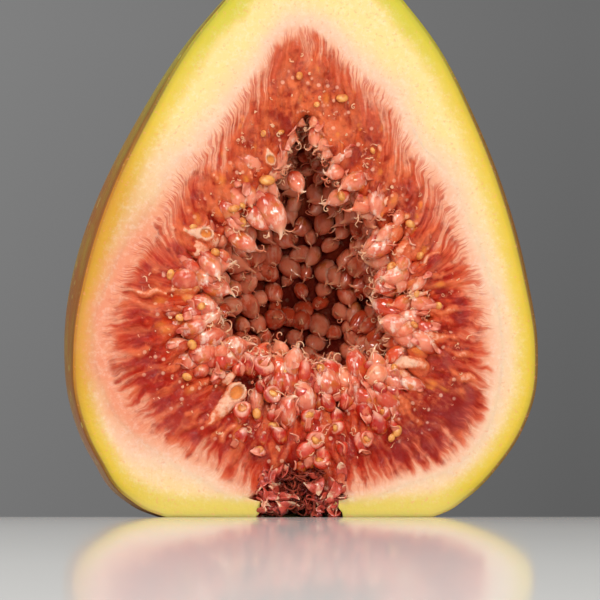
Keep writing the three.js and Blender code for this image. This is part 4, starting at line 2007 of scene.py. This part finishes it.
@dataclass
class Drupelets:
    """Fleshy flowers: bulbs with a drawn-out, bent beak, or cups where the knife opened them."""

    radius: float = 1.08
    length: float = 3.3
    beak: Pair = (0.14, 0.3)  # the beak's share of the length
    bend: Pair = (0.2, 1.0)  # how far its body turns, in radians
    kinds: int = 14
    columns: int = 12
    chance: random.Random = seeded(2)

    def bulb(self, cut: Cut) -> Mesh:
        """One body that leaves the origin along +Z and bends towards +X.

        Args:
            cut: whether its beak is cut off, so that it is open round its seed.

        Returns:
            The mesh.
        """
        draw = self.chance.uniform
        bend, squeeze, wobble = draw(*self.bend), draw(0.78, 1.0), draw(0, 6.3)
        beak, fat = draw(*self.beak), draw(0.88, 1.08)
        if cut is Cut.WHOLE:
            stops = [(z * (1 - beak), reach) for z, reach in BODY_STOPS]
            stops += [(1 - beak * 0.85, 0.2), (1 - beak * 0.4, 0.11), (1.0, 0.05)]
        else:
            stops = CUP_STOPS
        profile = np.array(stops, float)
        dense = np.linspace(0, 1, 60)
        heading = bend * dense**2 + 1.6 * bend * held(dense - 1 + beak) / beak
        step = self.length / 59
        aside, ahead = summed(np.sin(heading[:-1]) * step), summed(np.cos(heading[:-1]) * step)

        def place(u: Array, v: Array) -> Array:
            """A point of the body, on rings that follow its bend."""
            z, reach = profile[np.round(v * (len(profile) - 1)).astype(int)].T
            angle = TURN * u
            ripple = 0.09 * np.cos(2 * angle + wobble) + 0.06 * np.cos(3 * angle + 5 * z)
            reach = self.radius * fat * reach * (1 + ripple)
            turn = np.interp(z, dense, heading)
            out = reach * np.cos(angle)
            return np.column_stack(
                [
                    np.interp(z, dense, aside) + out * np.cos(turn),
                    reach * np.sin(angle) * squeeze,
                    np.interp(z, dense, ahead) - out * np.sin(turn),
                ]
            )

        return joined([sheet(self.columns, len(profile) - 1, place)])

    def build(
        self, seats: Sequence[Seat], cut: Cut, name: str, flesh: DrupeletFlesh
    ) -> Thing:
        """Builds and dresses all bodies of one kind.

        Args:
            seats: where they grow.
            cut: whether they are whole or cut open.
            name: the piece's name.
            flesh: their finish.

        Returns:
            The piece.
        """
        kinds = [self.bulb(cut) for _ in range(self.kinds)]
        whole_reach = self.length * (0.85 if cut is Cut.WHOLE else 0.6)
        body = bmesh.new()
        masks: dict[str, list[float]] = {"along": [], "tint": [], "pit": [], "sunk": []}
        for seat in seats:
            kind = self.chance.choice(kinds)
            corners = corners_of(kind)
            reach = np.hypot(corners[:, 0], corners[:, 1])
            inside = (reach < self.radius * 0.5) & (corners[:, 2] > self.length * 0.3)
            # Painted light: flowers higher up get a paler, rosier tint; otherwise the tint is a
            # random tone.
            painted_light_above = float(np.interp(seat.at.z, [22, 34], [0, 0.7]))
            tint = self.chance.random() * (1 - painted_light_above) + painted_light_above
            # Painted shade: flowers set further behind the cut are darkened.
            painted_depth_shade = float(np.interp(seat.at.y, [7, 18], [0, 0.25]))
            masks["along"].extend(np.hypot(corners[:, 0], corners[:, 2]) / whole_reach)
            masks["pit"].extend(inside * float(cut is Cut.OPEN))
            masks["tint"].extend([tint] * len(corners))
            masks["sunk"].extend([painted_depth_shade] * len(corners))
            copy = kind.copy()
            copy.transform(seat.matrix(self.chance.uniform(0, TURN)))
            body.from_mesh(copy)
            bpy.data.meshes.remove(copy)
        mesh = mesh_of(body, name)
        paint(mesh, **masks)
        return finish_piece(name, mesh, [flesh.build()])


BARE_SEEDS = (  # x, z and size of each seed that lies bare on the cut
    (-4.2, 35.2, 1.35), (-7.7, 32.2, 1.0), (-6.8, 30.8, 0.9), (3.6, 33.6, 1.0),
    (11.9, 27.4, 0.8), (8.9, 26.2, 0.9), (-9.6, 27.6, 0.8), (-11.1, 22.0, 1.0),
    (-13.3, 20.8, 0.7), (-12.6, 14.6, 0.8), (-5.3, 10.8, 0.9), (9.5, 9.0, 1.0),
    (8.9, 8.3, 0.7), (-0.8, 46.2, 0.75), (3.7, 43.9, 0.9), (1.0, 43.2, 0.6),
    (6.9, 38.4, 0.6), (-4.6, 40.1, 0.55),
)


@dataclass
class Seeds:
    """Hard golden seeds, bare on the cut face and in the opened flowers."""

    size: Triple = (0.56, 0.42, 0.72)
    chance: random.Random = seeded(3)

    def build(self, spots: Sequence[tuple[Vector, float]]) -> Thing:
        """Builds and dresses the seeds.

        Args:
            spots: where they are and how big each is, as a share of the common size.

        Returns:
            The piece.
        """
        draw = self.chance.uniform
        body = bmesh.new()
        for spot, share in spots:
            made = bmesh.ops.create_icosphere(body, subdivisions=2, radius=1.0)["verts"]
            grow = share * draw(0.9, 1.1)
            scale = Matrix.Diagonal((*[s * grow for s in self.size], 1))
            angle = draw(0, 6.3)
            turn = Matrix.Rotation(angle, 4, Vector([draw(-1, 1) for _ in range(3)]))
            matrix = Matrix.Translation(spot) @ turn @ scale
            bmesh.ops.transform(body, matrix=matrix, verts=made)
        return finish_piece("seeds", mesh_of(body, "seeds"), [SeedShell().build()])


@dataclass(frozen=True)
class Root:
    """Where a hair grows: a point, the way it leaves, its length and how hard it curls."""

    at: Vector
    along: Vector
    length: float
    curl: float


@dataclass
class Hairs:
    """Thin curled styles of the flowers."""

    name: str = "style_hairs"
    thickness: float = 0.062  # radius in mm
    steps: int = 9
    finish: StyleHair = StyleHair()
    chance: random.Random = seeded(4)

    def way(self, root: Root) -> list[Vector]:
        """The way that a hair grows.

        Args:
            root: where it starts.

        Returns:
            Points along it.
        """
        draw = self.chance.uniform
        axis = Vector((draw(-0.5, 0.5), draw(-1, 1), draw(-0.5, 0.5))).normalized()
        heading, here = root.along.normalized(), root.at.copy()
        points = [here.copy()]
        for i in range(self.steps):
            bend = math.radians(draw(4, 14) + root.curl * (i / self.steps))
            heading = Matrix.Rotation(bend, 3, axis) @ heading
            here = here + heading * (root.length / self.steps)
            points.append(here.copy())
        return points

    def build(self, roots: Sequence[Root]) -> Thing:
        """Builds and dresses the hairs.

        Args:
            roots: where they grow.

        Returns:
            The piece.
        """
        draw = self.chance.uniform
        curve = bpy.data.curves.new("hairs", "CURVE")
        curve.dimensions, curve.bevel_depth, curve.bevel_resolution = "3D", 1.0, 0
        curve.use_fill_caps = True
        for root in roots:
            points = self.way(root)
            thick = self.thickness * draw(0.75, 1.35)
            spline = curve.splines.new("POLY")
            spline.points.add(len(points) - 1)
            for i, (point, made) in enumerate(zip(points, spline.points)):
                made.co = (*point, 1)
                made.radius = thick * (1.15 - 0.5 * i / len(points))
        holder = shown("hair_curve", curve)
        mesh = evaluated(holder)
        bpy.data.objects.remove(holder)
        return finish_piece(self.name, mesh, [self.finish.build()])


def tilted(at: Triple, turns: Triple) -> Matrix:
    """Sets down a leaf that is turned about X, then Y, then Z.

    Args:
        at: where it sits, in mm.
        turns: its turns about Z, Y and X, in radians.

    Returns:
        The matrix that places it.
    """
    made = Matrix.Translation(at)
    for turn, axis in zip(turns, "ZYX"):
        made = made @ Matrix.Rotation(turn, 4, axis)
    return made


@dataclass
class EyeScales:
    """Torn, folded scales round the eye."""

    radius: float = 5.0
    height: float = 3.3
    collar: int = 60
    front: int = 58  # on each side of the cut
    chance: random.Random = seeded(5)

    def places(self) -> list[Matrix]:
        """Where the leaves sit: in a collar round the canal and in a tuft at each side."""
        draw = self.chance.uniform
        made: list[Matrix] = []
        for _ in range(self.collar):
            angle = math.pi * draw(-0.2, 1.2)
            sunk = draw(0, 1)
            x = EYE_AXIS[0] + self.radius * math.cos(angle)
            y = max(EYE_AXIS[1] + self.radius * math.sin(angle), 0.6)
            turn = angle + math.pi + draw(-0.5, 0.5)
            turns = (turn, draw(-0.3, 0.7) - 0.5 * sunk, draw(-1.2, 1.2))
            made.append(tilted((x, y, 0.4 + self.height * sunk), turns))
        for side in (-1, 1):
            for _ in range(self.front):
                out = draw(0, 1) ** 0.6
                x = EYE_AXIS[0] + side * (0.9 + 3.9 * out)
                turn = 0.0 if side < 0 else math.pi
                at = (x, draw(0.0, 1.6), 0.3 + draw(0, 1) * 3.9)
                turns = (turn + draw(-1.4, 1.4), draw(-1.5, 0.9), draw(-1.6, 1.6))
                made.append(tilted(at, turns))
        return made

    def build(self) -> Thing:
        """Builds and dresses the scales."""
        leaf, places = TornLeaf((1.0, 2.5), (0.3, 0.85)), self.places()
        return leaf_piece(
            "eye_scales_torn", leaf, places, self.chance, SCALE_LEAF, SCALES_NODE
        )


# ------------------------------ studio


@dataclass
class Studio:
    """Pale table, grey surround, soft lights and the camera."""

    sensor: float = 36.0  # the camera's width of picture, in mm
    reach: float = 0.5  # from the camera to the cut face, in metres
    view_width: float = 0.0627  # seen at the cut face, in metres
    yaw: float = -6.5  # degrees to the left of square on
    eye_level: float = 0.0001
    look_at: Pair = (-0.00084, 0.0227)
    sag: float = 0.22  # of the table top in front, per metre: it falls away as a wide curve

    def aimed(
        self, name: str, data: bpy.types.ID, at: Triple, aim: Vector
    ) -> Thing:
        """A camera or light that is turned towards a point.

        Args:
            name: its name.
            data: the camera or the light.
            at: its place in metres.
            aim: the point.

        Returns:
            The object.
        """
        thing = shown(name, data)
        thing.location = at
        thing.rotation_euler = (aim - thing.location).to_track_quat("-Z", "Y").to_euler()
        return thing

    def camera(self) -> None:
        """Places the camera level with the table top."""
        low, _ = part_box(RIND_NODE)
        lens = bpy.data.cameras.new("camera")
        lens.sensor_width = self.sensor
        lens.lens = self.sensor * self.reach / self.view_width
        lens.clip_start, lens.clip_end = 0.001, 20
        turn = math.radians(self.yaw)
        aim = Vector((self.look_at[0], low.y, self.look_at[1]))
        x = aim.x + self.reach * math.sin(turn)
        y = aim.y - self.reach * math.cos(turn)
        bpy.context.scene.camera = self.aimed("camera", lens, (x, y, self.eye_level), aim)

    def softbox(
        self, name: str, at: Triple, size: float, power: float, color: Color
    ) -> None:
        """A square area light that faces the fruit.

        Args:
            name: its name.
            at: its place in metres.
            size: its side in metres.
            power: its power in watts.
            color: its colour.
        """
        light = bpy.data.lights.new(name, "AREA")
        light.shape, light.size, light.energy, light.color = "SQUARE", size, power, color
        self.aimed(name, light, at, Vector((0, 0, 0.028)))

    def table(self) -> None:
        """A pale glossy table top, which curves gently down in front of the fruit."""

        def place(u: Array, v: Array) -> Array:
            """A point of the table top."""
            x = (u - 0.5) * 12
            y = np.where(v < 0.8, -3 + v / 0.8 * 2.99, (v - 0.8) / 0.2 * 6 - 0.01)
            front = np.maximum(-0.016 - y, 0)
            drop = np.where(front < 0.5, self.sag * front**2, self.sag * (front - 0.25))
            return np.column_stack([x, y, -drop])

        mesh = sheet(4, 400, place)
        tree = NodeTree("table_gloss")
        color = tree.layers((0.63, 0.63, 0.62), (tree.speckle(40.0, 2.0), (0.66, 0.66, 0.65)))
        mesh.materials.append(tree.dress(color, Roughness=0.085, IOR=1.05))
        mesh.shade_smooth()
        shown("table_top", mesh)

    def surround(self) -> None:
        """A grey surround that is lighter on the left."""
        world = bpy.data.worlds.new("surround")
        bpy.context.scene.world = world
        tree = NodeTree(world)
        where = tree.node("TexCoord").outputs["Generated"]
        right, _, up = tree.node("SeparateXYZ", {0: where}).outputs
        sideways = tree.fit(right, 0.17, 0.05, 0.112, 0.178, way="LINEAR")
        upwards = tree.fit(up, 0.0, 0.1, 0.0, 0.036, way="LINEAR")
        tree.feed("Color", tree.plus(sideways, upwards))

    def build(self) -> None:
        """Sets up the whole studio."""
        scene = bpy.context.scene
        scene.view_settings.view_transform = "Standard"
        self.camera()
        self.table()
        self.surround()
        warm, white = (1.0, 0.98, 0.95), (1.0, 0.99, 0.97)
        self.softbox("key", (-0.22, -0.42, 0.38), 0.14, 1.18, warm)
        self.softbox("fill", (0.26, -0.50, 0.22), 0.07, 0.9, white)
        self.softbox("front", (0.02, -0.60, 0.10), 0.07, 0.95, white)
        self.softbox("top", (-0.05, 0.0, 0.60), 0.40, 1.4, white)
        self.softbox("side", (-0.55, -0.05, 0.20), 0.30, 0.5, warm)


# ------------------------------ loose parts


@dataclass
class LooseParts:
    """Bare seeds, hairs, fibres and torn skins, which chance strews over the pulp."""

    pulp: Pulp
    more_seeds: int = 12
    face_hairs: int = 340
    fibres: int = 170
    leaf: TornLeaf = TornLeaf((1.0, 2.4), (0.25, 0.6))
    chance: random.Random = seeded(6)

    def seed_spots(self, opened: Sequence[Seat]) -> list[tuple[Vector, float]]:
        """Where the seeds lie: bare on the cut, and in opened flowers.

        Args:
            opened: the seats of the opened flowers.

        Returns:
            The place of each seed and its size.
        """
        draw = self.chance.uniform
        bare = [(Vector((x, -0.3, z)), size) for x, z, size in BARE_SEEDS]
        for _ in range(self.more_seeds):
            spot, _ = self.pulp.spot(draw(-math.pi, math.pi), draw(0.4, 0.95))
            bare.append((Vector((spot[0], draw(-0.3, 0.1), spot[1])), draw(0.55, 0.9)))
        return bare + [(seat.end(1.35), 0.95) for seat in opened]

    def beak_roots(self, seats: Sequence[Seat], each: int) -> list[Root]:
        """Hairs at the beaks of flowers.

        Args:
            seats: the flowers' seats.
            each: how many hairs a flower has.

        Returns:
            The hairs' roots.
        """
        draw = self.chance.uniform
        roots: list[Root] = []
        for seat in seats:
            for _ in range(each):
                shake = Vector([draw(-0.8, 0.8) for _ in range(3)])
                length = draw(0.7, 1.9)
                roots.append(Root(seat.end(2.9), seat.along + shake, length, draw(20, 70)))
        return roots

    def face_roots(self) -> list[Root]:
        """Hairs that lie on the cut face, a third of them in its upper part."""
        draw = self.chance.uniform
        roots: list[Root] = []
        for i in range(self.face_hairs):
            angle = draw(0.8, 2.3) if i % 3 == 0 else draw(-math.pi, math.pi)
            spot, way = self.pulp.spot(angle, draw(0.2, 1.0))
            start = Vector((spot[0], 0.05, spot[1]))
            aside = Vector((way[1], -0.5, -way[0])) * self.chance.choice((-1, 1))
            roots.append(Root(start, aside, draw(0.5, 1.3), draw(50, 100)))
        return roots

    def fibre_roots(self) -> list[Root]:
        """Dark fibres that hang down in the eye."""
        draw = self.chance.uniform
        roots: list[Root] = []
        for _ in range(self.fibres):
            x, z = draw(-4.2, 2.5), draw(1.2, 6.2)
            start = Vector((x, draw(0.2, 2.6), z))
            down = Vector((-0.3 * (x - EYE_AXIS[0]), -0.5, draw(-1.4, -0.4)))
            roots.append(Root(start, down, draw(1.2, 2.8), draw(0, 30)))
        return roots

    def torn_skins(self, seats: Sequence[Seat]) -> Thing:
        """Builds and dresses the torn skins of some flowers.

        Args:
            seats: those flowers' seats.

        Returns:
            The piece.
        """
        draw = self.chance.uniform
        places: list[Matrix] = []
        for seat in seats:
            turn = seat.along.to_track_quat("X", "Z").to_matrix().to_4x4()
            spin = Matrix.Rotation(draw(-3, 3), 4, "X")
            lift = Vector((draw(-0.4, 0.4), -0.9, draw(-0.4, 0.4)))
            places.append(Matrix.Translation(seat.at + lift) @ turn @ spin)
        return leaf_piece("torn_skins", self.leaf, places, self.chance, TORN_SKIN)


def main() -> None:
    """Builds the fig and its studio."""
    logging.basicConfig(level=logging.INFO, format="%(name)s: %(message)s")
    form = FigForm()
    Wall(form).build()
    pulp = Pulp(form)
    pulp.build()

    seats = Seats(form, pulp)
    hollow = seats.in_hollow() + list(BIG_HOLLOW_FLOWERS)
    ring = seats.on_face(count=165, low=0.52, high=1.04, step=1.6) + list(BIG_RIM_FLOWERS)
    opened_ring = seats.on_face(count=7, low=0.6, high=0.95, step=4.0)
    mound = seats.on_mound(count=58, step=1.5, back=0.8, way=Vector((0, -0.45, 0.75)))
    opened_mound = seats.on_mound(count=15, step=2.5, back=0.5, way=Vector((0, -0.85, 0.4)))

    Drupelets().build(hollow, Cut.WHOLE, "drupelets", HOLLOW_FLESH)
    rim = Drupelets(radius=1.02, length=3.7, beak=(0.12, 0.3), bend=(0.3, 1.2), columns=14)
    rim.build(ring, Cut.WHOLE, "rim_flowers", RIM_FLESH)
    Drupelets(radius=1.1).build(opened_ring, Cut.OPEN, "cut_rim_flowers", RIM_FLESH)
    low = Drupelets(radius=1.05, length=3.0, beak=(0.1, 0.24), bend=(0.2, 1.0), columns=14)
    low.build(mound, Cut.WHOLE, "mound_flowers", MOUND_FLESH)
    Drupelets(radius=1.2).build(opened_mound, Cut.OPEN, "cut_mound_flowers", MOUND_FLESH)

    loose = LooseParts(pulp)
    Seeds().build(loose.seed_spots(opened_ring + opened_mound))
    roots = loose.beak_roots(hollow, 1) + loose.beak_roots(ring, 3)
    roots += loose.beak_roots(mound, 1) + loose.face_roots()
    Hairs().build(roots)
    fibres = Hairs(name="eye_fibres", thickness=0.1, finish=EYE_FIBRE)
    fibres.build(loose.fibre_roots())
    EyeScales().build()
    torn = loose.chance.sample(ring, 60) + loose.chance.sample(mound + opened_mound, 40)
    loose.torn_skins(torn)

    Studio().build()


if __name__ == "__main__":
    main()
